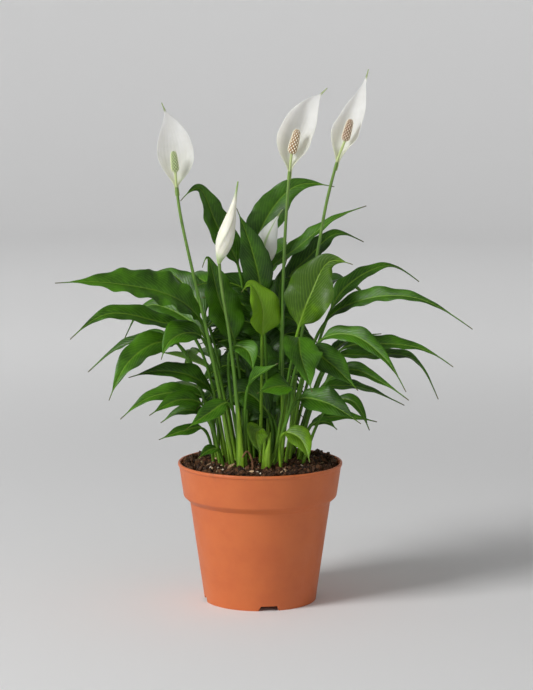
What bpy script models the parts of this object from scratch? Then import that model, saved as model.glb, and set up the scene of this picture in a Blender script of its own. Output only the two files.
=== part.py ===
"""A peace lily in its plastic nursery pot.

Metres, +Z up. The origin is the middle of the pot's foot, on the surface it stands on, and the
front of the plant looks along -Y.
"""

import math

import bmesh
import bpy
import numpy as np

# Pot
POT_HEIGHT = 0.145
RIM_RADIUS = 0.085
FOOT_RADIUS = 0.059
WALL = 0.0013
LIP_HEIGHT = 0.003
LIP_OVERHANG = 0.0012
BAND_HEIGHT = 0.035
BAND_TAPER = 0.0045
BAND_STEP = 0.0065
BAND_CHAMFER = 0.006
FOOT_BEVEL_HEIGHT = 0.008
FOOT_BEVEL = 0.001
SEAT_RADIUS = 0.036
GUTTER_HEIGHT = 0.006
GUTTER_SLOPE = 0.004
POT_SIDES = 44

# Drainage: notches through the foot and round holes through the gutter
NOTCH_COUNT = 4
NOTCH_WIDTH = 0.020
NOTCH_TOP_WIDTH = 0.017
NOTCH_HEIGHT = 0.005
NOTCH_TURN = math.radians(9)
HOLE_COUNT = 8
HOLE_RADIUS = 0.003
HOLE_SIDES = 10

# Soil
SOIL_DROP = 0.0045
SOIL_DOME = 0.0065
SOIL_RINGS = 5
GROUND = POT_HEIGHT - SOIL_DROP + SOIL_DOME

# Clearances
GAP = 0.0003
SOCKET_GAP = 0.0004
OVERSHOOT = 0.005

# Leaves: a round stalk that flattens into a blade with a keel
ROOT_DEPTH = 0.014
STALK_RADIUS = 0.0016
STALK_FLARE = 1.35
STALK_RINGS = 4
BLADE_RINGS = 8
BLADE_FOLD = math.radians(16)
BLADE_THICKNESS = 0.0005
TIP_THICKNESS = 0.00035
EDGE = 0.00035

# Flowers
STEM_RADIUS = 0.0016
STEM_RINGS = 9
ROUND_SIDES = 8
SHEATH_LENGTH = 0.008
SPATHE_THICKNESS = 0.0008
SPATHE_RINGS = 15
SPATHE_DRIP = 0.0095
BUD_RINGS = 10
STIPE_RADIUS = 0.0013

# Each leaf: where its stalk leaves the middle of the root ball (x, y), then the points its midrib
# passes, neck first and tip last, with heights above the soil, then the blade's width, and how far
# in degrees it rolls onto its side and twists along its length.
LEAVES = {
    "left_long": ((-0.022, -0.010),
        [(-0.058, -0.016, 0.140), (-0.085, -0.037, 0.172), (-0.150, -0.060, 0.190), (-0.204, -0.070, 0.191)],
        0.044, 42, 0),
    "left_far": ((-0.022, 0.020),
        [(-0.056, 0.024, 0.144), (-0.077, 0.044, 0.174), (-0.097, 0.063, 0.188), (-0.117, 0.080, 0.185)],
        0.030, 40, 0),
    "left_twisted": ((-0.032, -0.009),
        [(-0.072, -0.007, 0.134), (-0.102, -0.010, 0.144), (-0.155, -0.021, 0.154), (-0.193, -0.030, 0.129)],
        0.024, 40, 30),
    "left_arched": ((-0.024, 0.004),
        [(-0.056, 0.008, 0.124), (-0.077, 0.025, 0.144), (-0.118, 0.049, 0.154), (-0.144, 0.060, 0.116)],
        0.028, 45, -20),
    "left_whip": ((-0.037, 0.017),
        [(-0.092, 0.029, 0.123), (-0.119, 0.039, 0.121), (-0.151, 0.045, 0.109), (-0.181, 0.048, 0.084)],
        0.024, 25, 0),
    "left_drooping": ((-0.039, -0.008),
        [(-0.082, -0.012, 0.120), (-0.106, -0.028, 0.125), (-0.133, -0.046, 0.108), (-0.152, -0.060, 0.071)],
        0.030, 45, 0),
    "left_folded": ((-0.029, -0.022),
        [(-0.058, -0.029, 0.129), (-0.074, -0.040, 0.137), (-0.091, -0.053, 0.130), (-0.099, -0.062, 0.113)],
        0.030, 40, 0),
    "left_middle": ((-0.044, -0.002),
        [(-0.049, 0.0, 0.067), (-0.070, -0.018, 0.089), (-0.102, -0.033, 0.097), (-0.133, -0.045, 0.092)],
        0.027, 45, 0),
    "left_low": ((-0.046, 0.008),
        [(-0.056, 0.008, 0.060), (-0.079, 0.003, 0.069), (-0.114, -0.003, 0.065), (-0.144, -0.008, 0.043)],
        0.022, 40, 0),
    "left_low_front": ((-0.040, -0.016),
        [(-0.058, -0.016, 0.058), (-0.082, -0.031, 0.067), (-0.112, -0.050, 0.054)],
        0.020, 45, 0),
    "left_crossing": ((-0.022, -0.033),
        [(-0.032, -0.036, 0.064), (-0.053, -0.052, 0.056), (-0.074, -0.066, 0.043)],
        0.022, 45, 0),
    "left_lowest": ((-0.047, -0.010),
        [(-0.058, -0.015, 0.034), (-0.079, -0.026, 0.034), (-0.103, -0.038, 0.027)],
        0.015, 40, 0),
    "top_left": ((-0.008, 0.016),
        [(-0.022, 0.024, 0.196), (-0.044, 0.018, 0.240), (-0.063, 0.006, 0.280), (-0.081, -0.006, 0.268)],
        0.033, 66, 0),
    "top_right": ((-0.002, 0.028),
        [(-0.007, 0.035, 0.202), (0.009, 0.041, 0.251), (0.038, 0.044, 0.280), (0.077, 0.044, 0.279)],
        0.035, -66, 0),
    "centre_dark": ((0.009, -0.007),
        [(0.002, 0.003, 0.166), (-0.007, 0.004, 0.212), (-0.024, 0.002, 0.260)],
        0.034, 66, 0),
    "left_upright": ((-0.014, 0.002),
        [(-0.026, 0.003, 0.119), (-0.042, 0.0, 0.166), (-0.054, -0.004, 0.210), (-0.059, -0.008, 0.200)],
        0.042, 66, 0),
    "centre_bright": ((0.0, -0.014),
        [(0.002, -0.010, 0.128), (0.002, -0.014, 0.161), (-0.010, -0.016, 0.184), (-0.019, -0.020, 0.176)],
        0.042, 66, 0),
    "right_bright": ((0.016, -0.014),
        [(0.039, -0.018, 0.138), (0.052, -0.022, 0.175), (0.070, -0.020, 0.207), (0.094, -0.026, 0.205)],
        0.052, -70, 0),
    "right_narrow": ((0.010, 0.023),
        [(0.007, 0.025, 0.188), (0.039, 0.030, 0.217), (0.076, 0.034, 0.246), (0.110, 0.034, 0.260)],
        0.020, -30, 0),
    "right_back_dark": ((0.016, 0.034),
        [(0.023, 0.042, 0.171), (0.052, 0.054, 0.206), (0.080, 0.066, 0.228), (0.109, 0.072, 0.219)],
        0.028, -30, 0),
    "centre_behind": ((0.011, 0.003),
        [(0.022, 0.006, 0.129), (0.020, 0.012, 0.175), (0.028, 0.016, 0.208)],
        0.032, 0, 0),
    "right_upper": ((0.028, 0.015),
        [(0.072, 0.017, 0.151), (0.093, 0.033, 0.179), (0.134, 0.050, 0.196), (0.167, 0.062, 0.178)],
        0.027, -35, 0),
    "right_long": ((0.029, -0.001),
        [(0.064, -0.001, 0.139), (0.100, -0.014, 0.166), (0.157, -0.034, 0.172), (0.214, -0.050, 0.142)],
        0.027, -40, 0),
    "right_shaded": ((0.030, 0.026),
        [(0.073, 0.028, 0.104), (0.096, 0.047, 0.119), (0.128, 0.068, 0.122)],
        0.020, -15, 0),
    "right_folded": ((0.024, -0.022),
        [(0.059, -0.022, 0.124), (0.091, -0.038, 0.135), (0.125, -0.059, 0.114), (0.146, -0.075, 0.082)],
        0.024, -45, 0),
    "right_middle": ((0.036, 0.006),
        [(0.080, 0.005, 0.111), (0.118, 0.0, 0.120), (0.166, -0.006, 0.116), (0.198, -0.012, 0.098)],
        0.023, -40, 0),
    "right_drooping": ((0.041, 0.018),
        [(0.072, 0.019, 0.100), (0.110, 0.025, 0.105), (0.159, 0.035, 0.100), (0.187, 0.042, 0.056)],
        0.024, -30, 0),
    "right_low": ((0.037, -0.005),
        [(0.064, -0.006, 0.077), (0.092, -0.016, 0.096), (0.124, -0.029, 0.085), (0.151, -0.040, 0.068)],
        0.020, -40, 0),
    "right_low_dark": ((0.037, 0.013),
        [(0.060, 0.014, 0.068), (0.090, 0.030, 0.072), (0.117, 0.042, 0.065), (0.152, 0.052, 0.048)],
        0.020, -30, 0),
    "front_right_low": ((0.012, -0.034),
        [(0.038, -0.039, 0.067), (0.065, -0.058, 0.069), (0.101, -0.076, 0.050)],
        0.030, -50, 0),
    "front_right": ((0.020, -0.028),
        [(0.047, -0.030, 0.118), (0.071, -0.042, 0.106), (0.099, -0.054, 0.080)],
        0.032, -45, 0),
    "front_centre": ((0.012, -0.024),
        [(0.038, -0.030, 0.130), (0.041, -0.060, 0.116), (0.052, -0.088, 0.084)],
        0.042, 0, 0),
    "front_small": ((0.004, -0.037),
        [(0.032, -0.047, 0.080), (0.017, -0.058, 0.085), (-0.003, -0.070, 0.080)],
        0.026, 45, 0),
    "centre_droop": ((-0.016, -0.020),
        [(-0.029, -0.022, 0.119), (-0.013, -0.031, 0.118), (-0.007, -0.039, 0.096)],
        0.022, -20, 0),
    "shoot_left": ((0.002, -0.043),
        [(0.003, -0.048, 0.039), (-0.004, -0.060, 0.037), (0.001, -0.072, 0.017)],
        0.024, 30, 0),
    "shoot_right": ((0.022, -0.039),
        [(0.024, -0.047, 0.035), (0.040, -0.056, 0.032), (0.050, -0.068, 0.009)],
        0.024, -30, 0),
    "right_hook": ((0.040, -0.020),
        [(0.072, -0.021, 0.061), (0.093, -0.030, 0.066), (0.111, -0.045, 0.038)],
        0.014, -35, 0),
    "back_left": ((-0.014, 0.036),
        [(-0.038, 0.062, 0.150), (-0.070, 0.104, 0.178), (-0.098, 0.142, 0.150)],
        0.034, 10, 0),
    "back_centre": ((0.002, 0.040),
        [(0.006, 0.074, 0.176), (0.012, 0.122, 0.214), (0.016, 0.168, 0.196)],
        0.036, 0, 0),
    "back_right": ((0.020, 0.040),
        [(0.044, 0.066, 0.150), (0.082, 0.098, 0.176), (0.118, 0.128, 0.150)],
        0.034, -10, 0),
    "back_low_left": ((-0.030, 0.036),
        [(-0.044, 0.068, 0.088), (-0.066, 0.106, 0.098), (-0.086, 0.138, 0.072)],
        0.028, 0, 0),
    "back_low": ((-0.004, 0.046),
        [(-0.006, 0.078, 0.092), (-0.008, 0.120, 0.104), (-0.012, 0.160, 0.076)],
        0.030, 0, 0),
    "back_low_right": ((0.032, 0.034),
        [(0.048, 0.066, 0.084), (0.072, 0.104, 0.096), (0.098, 0.136, 0.066)],
        0.028, 0, 0),
}

# Each flower: its root, the points of its stem from the soil to the foot of the spathe, the points
# of the spathe's midrib, the side the spathe faces, its width, how tightly it is cupped, and the
# foot, the top and the radius of the spadix. Heights are above the soil.
FLOWERS = {
    "flower_left": dict(
        root=(-0.025, -0.028),
        stem=[(-0.039, -0.031, 0.062), (-0.053, -0.046, 0.137), (-0.067, -0.044, 0.197),
              (-0.080, -0.032, 0.255), (-0.084, -0.028, 0.283)],
        spathe=[(-0.085, -0.017, 0.310), (-0.090, -0.014, 0.342), (-0.099, -0.020, 0.368)],
        facing=(0.1, -1.0, 0.0), width=0.041, cup=0.026,
        spadix=((-0.085, -0.030, 0.299), (-0.087, -0.031, 0.320), 0.0046)),
    "flower_back": dict(
        root=(0.0, -0.004),
        stem=[(0.002, 0.013, 0.133), (0.003, 0.019, 0.164), (0.005, 0.021, 0.194)],
        spathe=[(0.004, 0.016, 0.219), (0.014, 0.017, 0.243), (0.023, 0.023, 0.257)],
        facing=(0.3, 1.0, 0.0), width=0.029, cup=0.013,
        spadix=((0.006, 0.024, 0.207), (0.010, 0.025, 0.226), 0.0032)),
    "flower_tall": dict(
        root=(0.023, 0.003),
        stem=[(0.023, -0.008, 0.136), (0.024, -0.009, 0.198), (0.027, -0.008, 0.259),
              (0.030, -0.006, 0.298)],
        spathe=[(0.038, 0.006, 0.337), (0.051, 0.006, 0.363), (0.068, -0.001, 0.382)],
        facing=(-0.3, -1.0, 0.0), width=0.044, cup=0.026,
        spadix=((0.032, -0.008, 0.316), (0.038, -0.010, 0.341), 0.0056)),
    "flower_right": dict(
        root=(0.028, 0.008),
        stem=[(0.041, 0.002, 0.119), (0.057, 0.0, 0.205), (0.068, -0.002, 0.267),
              (0.078, -0.004, 0.307)],
        spathe=[(0.091, 0.008, 0.337), (0.101, 0.009, 0.367), (0.110, 0.004, 0.401)],
        facing=(-0.65, -1.0, 0.0), width=0.036, cup=0.020,
        spadix=((0.086, -0.006, 0.329), (0.092, -0.008, 0.351), 0.0050)),
}
BUD = dict(
    root=(-0.019, -0.040),
    stem=[(-0.024, -0.037, 0.071), (-0.031, -0.036, 0.134), (-0.039, -0.036, 0.185),
          (-0.041, -0.036, 0.207)],
    spathe=[(-0.035, -0.036, 0.231), (-0.030, -0.036, 0.251), (-0.026, -0.036, 0.268),
            (-0.022, -0.036, 0.290)],
    radii=(0.0016, 0.0060, 0.0087, 0.0085, 0.0066, 0.0044, 0.0023, 0.0011, 0.0006),
    swelling=2.1)
WITHERED_STALK = dict(
    points=[(-0.008, -0.048, -0.008), (-0.008, -0.052, 0.008), (-0.013, -0.054, 0.018),
            (-0.018, -0.056, 0.012)],
    radii=(0.0012, 0.0010, 0.0008, 0.0006))

# Materials: sRGB colour, roughness
TERRACOTTA = ((0.737, 0.384, 0.247), 0.55)
SOIL_BROWN = ((0.157, 0.110, 0.078), 0.95)
LEAF_GREEN = ((0.247, 0.400, 0.153), 0.40)
YOUNG_GREEN = ((0.420, 0.580, 0.200), 0.42)
STEM_GREEN = ((0.500, 0.620, 0.290), 0.45)
SPATHE_WHITE = ((0.937, 0.929, 0.871), 0.50)
SPADIX_CREAM = ((0.780, 0.720, 0.540), 0.80)
DRY_BROWN = ((0.420, 0.300, 0.210), 0.90)
YOUNG_LEAVES = ("centre_bright", "right_bright", "shoot_left", "shoot_right")


def clear_scene():
    for thing in list(bpy.data.objects):
        bpy.data.objects.remove(thing, do_unlink=True)


def linear(channel):
    """One sRGB channel as linear light."""
    return channel / 12.92 if channel <= 0.04045 else ((channel + 0.055) / 1.055) ** 2.4


def material(name, look):
    colour, roughness = look
    made = bpy.data.materials.get(name) or bpy.data.materials.new(name)
    made.use_nodes = True
    shader = made.node_tree.nodes["Principled BSDF"]
    shader.inputs["Base Color"].default_value = (*(linear(c) for c in colour), 1.0)
    shader.inputs["Roughness"].default_value = roughness
    shader.inputs["Metallic"].default_value = 0.0
    made.diffuse_color = shader.inputs["Base Color"].default_value
    return made


def solid(name, rings, look=None, smooth_under=50):
    """A closed body through rings of points, from the first ring to the last, with flat ends."""
    mesh = bmesh.new()
    loops = [[mesh.verts.new(point) for point in ring] for ring in rings]
    count = len(loops[0])
    for lower, upper in zip(loops, loops[1:]):
        for i in range(count):
            j = (i + 1) % count
            mesh.faces.new((lower[i], lower[j], upper[j], upper[i]))
    mesh.faces.new(reversed(loops[0]))
    mesh.faces.new(loops[-1])
    bmesh.ops.recalc_face_normals(mesh, faces=mesh.faces)
    data = bpy.data.meshes.new(name)
    mesh.to_mesh(data)
    mesh.free()
    data.shade_smooth()
    data.set_sharp_from_angle(angle=math.radians(smooth_under))
    made = bpy.data.objects.new(name, data)
    bpy.context.scene.collection.objects.link(made)
    if look:
        made.data.materials.append(material(*look))
    return made


def cutter(name, rings, folder):
    """A solid that only cuts: it is drawn as wire and never rendered."""
    made = solid(name, rings)
    made.hide_render = True
    made.display_type = "WIRE"
    bpy.context.scene.collection.objects.unlink(made)
    folder.objects.link(made)


def cutters_for(name):
    folder = bpy.data.collections.new(name)
    bpy.context.scene.collection.children.link(folder)
    return folder


def cut(target, folder):
    change = target.modifiers.new(folder.name, "BOOLEAN")
    change.operation = "DIFFERENCE"
    change.solver = "EXACT"
    change.operand_type = "COLLECTION"
    change.collection = folder


def unit(vectors):
    return vectors / np.linalg.norm(vectors, axis=-1, keepdims=True)


def curve_through(points, count=16):
    """Smooth spans through the points: cubic, with the speed even from span to span."""
    stops = np.asarray(points, float)
    chord = np.diff(stops, axis=0)
    step = np.sqrt(np.linalg.norm(chord, axis=1, keepdims=True))
    slope = chord / step
    bend = np.empty_like(stops)
    bend[1:-1] = (slope[:-1] * step[1:] + slope[1:] * step[:-1]) / (step[1:] + step[:-1])
    bend[0] = 1.5 * slope[0] - 0.5 * bend[1]
    bend[-1] = 1.5 * slope[-1] - 0.5 * bend[-2]
    u = np.linspace(0, 1, count)[None, :, None]
    start, end, reach = stops[:-1, None], stops[1:, None], step[:, None]
    leave, arrive = reach * bend[:-1, None], reach * bend[1:, None]
    return (
        (2 * u**3 - 3 * u**2 + 1) * start
        + (u**3 - 2 * u**2 + u) * leave
        + (3 * u**2 - 2 * u**3) * end
        + (u**3 - u**2) * arrive
    )


def along(spans, fractions):
    """The points at the given fractions of the spans' whole length."""
    path = spans.reshape(-1, 3)
    travelled = np.concatenate([[0], np.cumsum(np.linalg.norm(np.diff(path, axis=0), axis=1))])
    wanted = np.asarray(fractions) * travelled[-1]
    return np.stack([np.interp(wanted, travelled, path[:, k]) for k in range(3)], axis=1)


def across(line, side):
    """Two directions square to the line at each point: towards side, and square to that."""
    ahead = unit(np.gradient(line, axis=0))
    sideways = unit(side - (ahead @ side)[:, None] * ahead)
    return sideways, np.cross(ahead, sideways)


def placed(line, sideways, upwards, u, v):
    """Rings of points, each u along sideways and v along upwards from its point of the line."""
    return line[:, None] + u[:, :, None] * sideways[:, None] + v[:, :, None] * upwards[:, None]


def above_ground(points):
    return [(x, y, z + GROUND) for x, y, z in points]


def outline(fraction, fullness, sharpness):
    """Half width of a blade as a share of its greatest: a sine bulge that runs out in a long tip."""
    return np.sin(np.pi * np.clip(fraction, 0, 1) ** fullness) ** sharpness


def pot_walls():
    """The pot's outer and inner outlines as (radius, height), both from the middle outwards and up."""
    band_foot = POT_HEIGHT - BAND_HEIGHT
    band_top_radius = RIM_RADIUS - LIP_OVERHANG
    band_foot_radius = band_top_radius - BAND_TAPER
    body_radius = band_foot_radius - BAND_STEP
    body_top = band_foot - BAND_CHAMFER
    lip_foot = POT_HEIGHT - LIP_HEIGHT
    gutter_edge = SEAT_RADIUS + GUTTER_SLOPE
    gutter_top = GUTTER_HEIGHT + WALL
    foot_radius = FOOT_RADIUS - FOOT_BEVEL
    outer = [
        (SEAT_RADIUS, 0), (gutter_edge, GUTTER_HEIGHT), (foot_radius - WALL, GUTTER_HEIGHT),
        (foot_radius - WALL, 0), (foot_radius, 0), (FOOT_RADIUS, FOOT_BEVEL_HEIGHT),
        (body_radius, body_top), (band_foot_radius, band_foot),
        (band_top_radius, lip_foot - LIP_OVERHANG), (RIM_RADIUS, lip_foot),
        (RIM_RADIUS, POT_HEIGHT - LIP_HEIGHT / 3), (RIM_RADIUS - LIP_HEIGHT / 3, POT_HEIGHT),
    ]
    inner = [
        (SEAT_RADIUS - WALL, WALL), (gutter_edge - WALL, gutter_top),
        (FOOT_RADIUS - WALL, gutter_top), (body_radius - WALL, body_top),
        (band_foot_radius - WALL, band_foot), (band_top_radius - WALL, POT_HEIGHT),
    ]
    return outer, inner


def turned(outline_points, sides):
    """Rings about the Z axis through an outline of (radius, height)."""
    angles = 2 * np.pi * np.arange(sides) / sides
    radius, height = np.array(outline_points).T
    x = radius[:, None] * np.cos(angles)
    y = radius[:, None] * np.sin(angles)
    return np.stack([x, y, np.repeat(height[:, None], sides, axis=1)], axis=2)


def drawn_in(outline_points, distance):
    """An outline moved inwards by a distance, each corner along the line between its two edges."""
    points = np.array(outline_points, float)
    edges = unit(np.diff(points, axis=0))
    inward = np.stack([-edges[:, 1], edges[:, 0]], axis=1)
    first, last = inward[:-1], inward[1:]
    corner = (first + last) / (1 + (first * last).sum(axis=1, keepdims=True))
    return points + distance * np.concatenate([inward[:1], corner, inward[-1:]])


def notch_rings(turn):
    """A drainage notch: a block through the foot at an angle, narrower at the top."""
    low, high = NOTCH_WIDTH / 2, NOTCH_TOP_WIDTH / 2
    near, far = -(FOOT_RADIUS + OVERSHOOT), -(FOOT_RADIUS - OVERSHOOT)
    corners = [(-low, -OVERSHOOT), (low, -OVERSHOOT), (high, NOTCH_HEIGHT), (-high, NOTCH_HEIGHT)]
    block = np.array([[(x, y, z) for x, z in corners] for y in (near, far)])
    c, s = math.cos(turn), math.sin(turn)
    return block @ np.array([[c, s, 0], [-s, c, 0], [0, 0, 1]])


def hole_rings(turn):
    """A round drainage hole through the floor of the gutter."""
    middle = (SEAT_RADIUS + GUTTER_SLOPE + FOOT_RADIUS) / 2
    ends = [(HOLE_RADIUS, GUTTER_HEIGHT - WALL), (HOLE_RADIUS, GUTTER_HEIGHT + 2 * WALL)]
    place = (middle * math.cos(turn), middle * math.sin(turn), 0)
    return turned(ends, HOLE_SIDES) + np.array(place)


def make_pot():
    outer, inner = pot_walls()
    pot = solid("pot", turned(outer + inner[::-1], POT_SIDES), ("terracotta_plastic", TERRACOTTA), 35)
    drains = cutters_for("pot_drains")
    for i in range(NOTCH_COUNT):
        cutter(f"notch_{i + 1}", notch_rings(NOTCH_TURN + 2 * math.pi * i / NOTCH_COUNT), drains)
    for i in range(HOLE_COUNT):
        cutter(f"hole_{i + 1}", hole_rings(2 * math.pi * (i + 0.5) / HOLE_COUNT), drains)
    cut(pot, drains)


def make_soil(sockets):
    """The root ball: it fills the pot, domes a little in the middle, and holds each stalk."""
    wall = drawn_in([(0, WALL), *pot_walls()[1]], GAP)[1:]
    edge = POT_HEIGHT - SOIL_DROP
    edge_radius = np.interp(edge, wall[:, 1], wall[:, 0])
    share = np.arange(SOIL_RINGS) / SOIL_RINGS
    dome = np.stack([edge_radius * (1 - share), edge + SOIL_DOME * (1 - (1 - share) ** 2)], axis=1)
    soil = solid("soil", turned([*wall[:-1], *dome], POT_SIDES), ("potting_soil", SOIL_BROWN), 60)
    cut(soil, sockets)


def socket(name, rings, radius, folder):
    """A hole in the soil that clears a round stalk by its gap on every side."""
    middle = rings.mean(axis=1, keepdims=True)
    clear = SOCKET_GAP / np.cos(np.pi / rings.shape[1])
    wider = middle + (rings - middle) * (1 + clear / radius)[:, None, None]
    wider[0] -= SOCKET_GAP * unit(middle[1] - middle[0])
    cutter(f"{name}_socket", wider, folder)


# The eight points of a leaf's section: as a round stalk, and as a folded blade with a keel
ROUND = np.radians([180, 135, 90, 45, 0, -45, -90, -135])
SPAN = np.array([-1, -0.5, 0, 0.5, 1, 0.5, 0, -0.5])
FACE = np.array([0, 1, 1, 1, 0, 0, 0, 0])
KEEL = np.array([0, 0, 0, 0, 0, 0, 1, 0])
BACK = np.array([0, 0, 0, 0, 0, 1, 0, 1])


def leaf_rings(root, route, width, roll, twist):
    """A leaf's rings from the foot of its stalk to its tip, and the radius of each stalk ring."""
    stops = [(*root, GROUND - ROOT_DEPTH), *above_ground(route)]
    spans = curve_through(stops)
    climb = np.arange(STALK_RINGS) / STALK_RINGS
    run = np.linspace(0, 1, BLADE_RINGS)
    line = np.concatenate([along(spans[0], climb), along(spans[1:], run)])
    rise = np.concatenate([climb, np.ones(BLADE_RINGS)])
    share = np.concatenate([np.zeros(STALK_RINGS), run])
    outwards = unit(np.array([route[-1][0] - root[0], route[-1][1] - root[1], 0.0]))
    sideways, upwards = across(line, np.array([-outwards[1], outwards[0], 0.0]))
    turn = np.radians(roll * rise + twist * (share - 0.4) * (share > 0))[:, None]
    sideways, upwards = (
        sideways * np.cos(turn) - upwards * np.sin(turn),
        upwards * np.cos(turn) + sideways * np.sin(turn),
    )
    flat = np.clip(share / 0.15, 0, 1)[:, None]
    radius = STALK_RADIUS * (STALK_FLARE + (1 - STALK_FLARE) * rise)
    half = np.maximum(width / 2 * outline(share, 0.72, 1.35), EDGE)[:, None]
    keel = (STALK_RADIUS * 0.8 * (1 - share) ** 0.6 + TIP_THICKNESS)[:, None]
    thick = (TIP_THICKNESS + (BLADE_THICKNESS - TIP_THICKNESS) * (1 - share))[:, None]
    blade_v = np.abs(SPAN) * half * math.tan(BLADE_FOLD) + thick * (FACE - BACK) - keel * KEEL
    u = radius[:, None] * np.cos(ROUND) * (1 - flat) + half * SPAN * flat
    v = radius[:, None] * np.sin(ROUND) * (1 - flat) + blade_v * flat
    return placed(line, sideways, upwards, u, v), radius[:STALK_RINGS]


def round_rings(line, radius, sides):
    """Round rings of the given radii, one on each point of a line."""
    sideways, upwards = across(line, np.array([1.0, 0.0, 0.0]))
    angles = -2 * np.pi * np.arange(sides) / sides
    u = radius[:, None] * np.cos(angles)
    v = radius[:, None] * np.sin(angles)
    return placed(line, sideways, upwards, u, v)


def tube_rings(points, radii, rings=STEM_RINGS, sides=ROUND_SIDES):
    """A round stem through the points, with its radius read along the list of radii."""
    share = np.linspace(0, 1, rings)
    line = along(curve_through(points), share)
    radius = np.interp(share, np.linspace(0, 1, len(radii)), radii)
    return round_rings(line, radius, sides), radius


def spathe_rings(top, ahead, route, facing, width, cup):
    """A spathe's thin cupped blade: it clasps the stem, opens to its full cup, and ends in a drip tip."""
    hug = STEM_RADIUS + GAP + SPATHE_THICKNESS / 2
    facing = np.array(facing)
    inwards = unit(facing - (ahead @ facing) * ahead)
    foot = top - inwards * hug
    clasp = [foot - ahead * SHEATH_LENGTH, foot - ahead * SHEATH_LENGTH / 2, foot]
    route = [*clasp, foot + ahead * STEM_RADIUS, *above_ground(route)]
    share = np.linspace(0, 1, SPATHE_RINGS)
    spans = curve_through(route)
    line = along(spans, share)
    forward = unit(np.gradient(line, axis=0))
    upwards = unit(facing - (forward @ facing)[:, None] * forward)
    sideways = np.cross(upwards, forward)
    length = np.linalg.norm(np.diff(spans.reshape(-1, 3), axis=0), axis=1).sum()
    petal = (share * length - SHEATH_LENGTH) / (length - SHEATH_LENGTH - SPATHE_DRIP)
    opened = np.clip(petal / 0.35, 0, 1)
    opened = opened**2 * (3 - 2 * opened)
    curl = (hug + (cup - hug) * opened)[:, None]
    least = np.where(petal < 0.2, hug, EDGE)
    half = np.maximum(width / 2 * outline(petal, 0.95, 0.7), least)[:, None]
    bend = np.minimum(half / curl, math.radians(115)) * np.linspace(-1, 1, 5)
    outside, inside = curl + SPATHE_THICKNESS / 2, curl - SPATHE_THICKNESS / 2
    back = bend[:, ::-1]
    u = np.concatenate([outside * np.sin(bend), inside * np.sin(back)], axis=1)
    v = np.concatenate([curl - outside * np.cos(bend), curl - inside * np.cos(back)], axis=1)
    return placed(line, sideways, upwards, u, v)


def spadix_rings(top, ahead, foot, tip, radius):
    """A thin stipe on the stem's end that swells into the round-topped spadix."""
    start = top + ahead * GAP
    foot, tip = np.array(above_ground([foot, tip]))
    body = np.array([0, 0.12, 0.5, 0.8, 0.95, 1.0])
    thick = radius * np.array([0.6, 0.95, 1.0, 0.85, 0.5, 0.15])
    stipe = [start, start + ahead * STIPE_RADIUS, start + 0.8 * (foot - start)]
    line = np.concatenate([stipe, foot + body[:, None] * (tip - foot)])
    return round_rings(line, np.concatenate([[STIPE_RADIUS] * 3, thick]), ROUND_SIDES)


def bud_rings(top, ahead):
    """The rolled bud: a spindle that runs out in a thin tip."""
    start = top + ahead * GAP
    neck = start + ahead * STEM_RADIUS
    share = np.linspace(0, 1, BUD_RINGS)
    body = along(curve_through([neck, *above_ground(BUD["spathe"])]), share)
    radius = np.interp(share, np.linspace(0, 1, len(BUD["radii"])), BUD["radii"])
    return round_rings(np.concatenate([[start], body]), np.append(radius[0], radius), ROUND_SIDES)


def make_leaves(sockets):
    for name, shape in LEAVES.items():
        rings, radius = leaf_rings(*shape)
        look = ("young_leaf", YOUNG_GREEN) if name in YOUNG_LEAVES else ("leaf", LEAF_GREEN)
        solid(f"leaf_{name}", rings, look, 60)
        socket(name, rings[: len(radius)], radius, sockets)


def make_stem(name, root, route, radii, sockets):
    """A flower's stem, and its last ring's middle and direction for what stands on it."""
    rings, radius = tube_rings([(*root, GROUND - ROOT_DEPTH), *above_ground(route)], radii)
    solid(f"{name}_stem", rings, ("flower_stem", STEM_GREEN), 60)
    socket(name, rings[:2], radius[:2], sockets)
    last, top = rings[-2].mean(axis=0), rings[-1].mean(axis=0)
    return top, unit(top - last)


def make_flowers(sockets):
    stem_radii = (STEM_RADIUS * STALK_FLARE, STEM_RADIUS)
    for name, flower in FLOWERS.items():
        top, ahead = make_stem(name, flower["root"], flower["stem"], stem_radii, sockets)
        blade = [flower[part] for part in ("spathe", "facing", "width", "cup")]
        spathe = spathe_rings(top, ahead, *blade)
        solid(f"{name}_spathe", spathe, ("spathe", SPATHE_WHITE), 60)
        spadix = spadix_rings(top, ahead, *flower["spadix"])
        solid(f"{name}_spadix", spadix, ("spadix", SPADIX_CREAM), 60)
    bud_radii = (STEM_RADIUS * BUD["swelling"], STEM_RADIUS * STALK_FLARE, STEM_RADIUS, STEM_RADIUS)
    top, ahead = make_stem("flower_bud", BUD["root"], BUD["stem"], bud_radii, sockets)
    solid("flower_bud_spathe", bud_rings(top, ahead), ("spathe", SPATHE_WHITE), 60)


def make_withered_stalk(sockets):
    rings, radius = tube_rings(above_ground(WITHERED_STALK["points"]), WITHERED_STALK["radii"], sides=6)
    solid("withered_stalk", rings, ("dry_stalk", DRY_BROWN), 60)
    socket("withered_stalk", rings[:3], radius[:3], sockets)


def main():
    clear_scene()
    sockets = cutters_for("soil_sockets")
    make_pot()
    make_leaves(sockets)
    make_flowers(sockets)
    make_withered_stalk(sockets)
    make_soil(sockets)


main()
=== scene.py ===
# %% [markdown]
# # A peace lily in its nursery pot
#
# A potted plant is two crafts in one scene. The pot is a turned, moulded thing with exact
# measures; the plant is grown, so no two leaves match and no edge is straight. A fixed model
# already says where everything stands and how big it is. This lesson gives every part its real
# surface: leaves with a midrib and side veins, spathes as thin as paper, spadices covered in tiny
# florets, loose soil, and a pot with a rounded lip.
#
# The fixed model comes first, because every measure below is read against its box.

# %% Load the fixed model
import math

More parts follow.
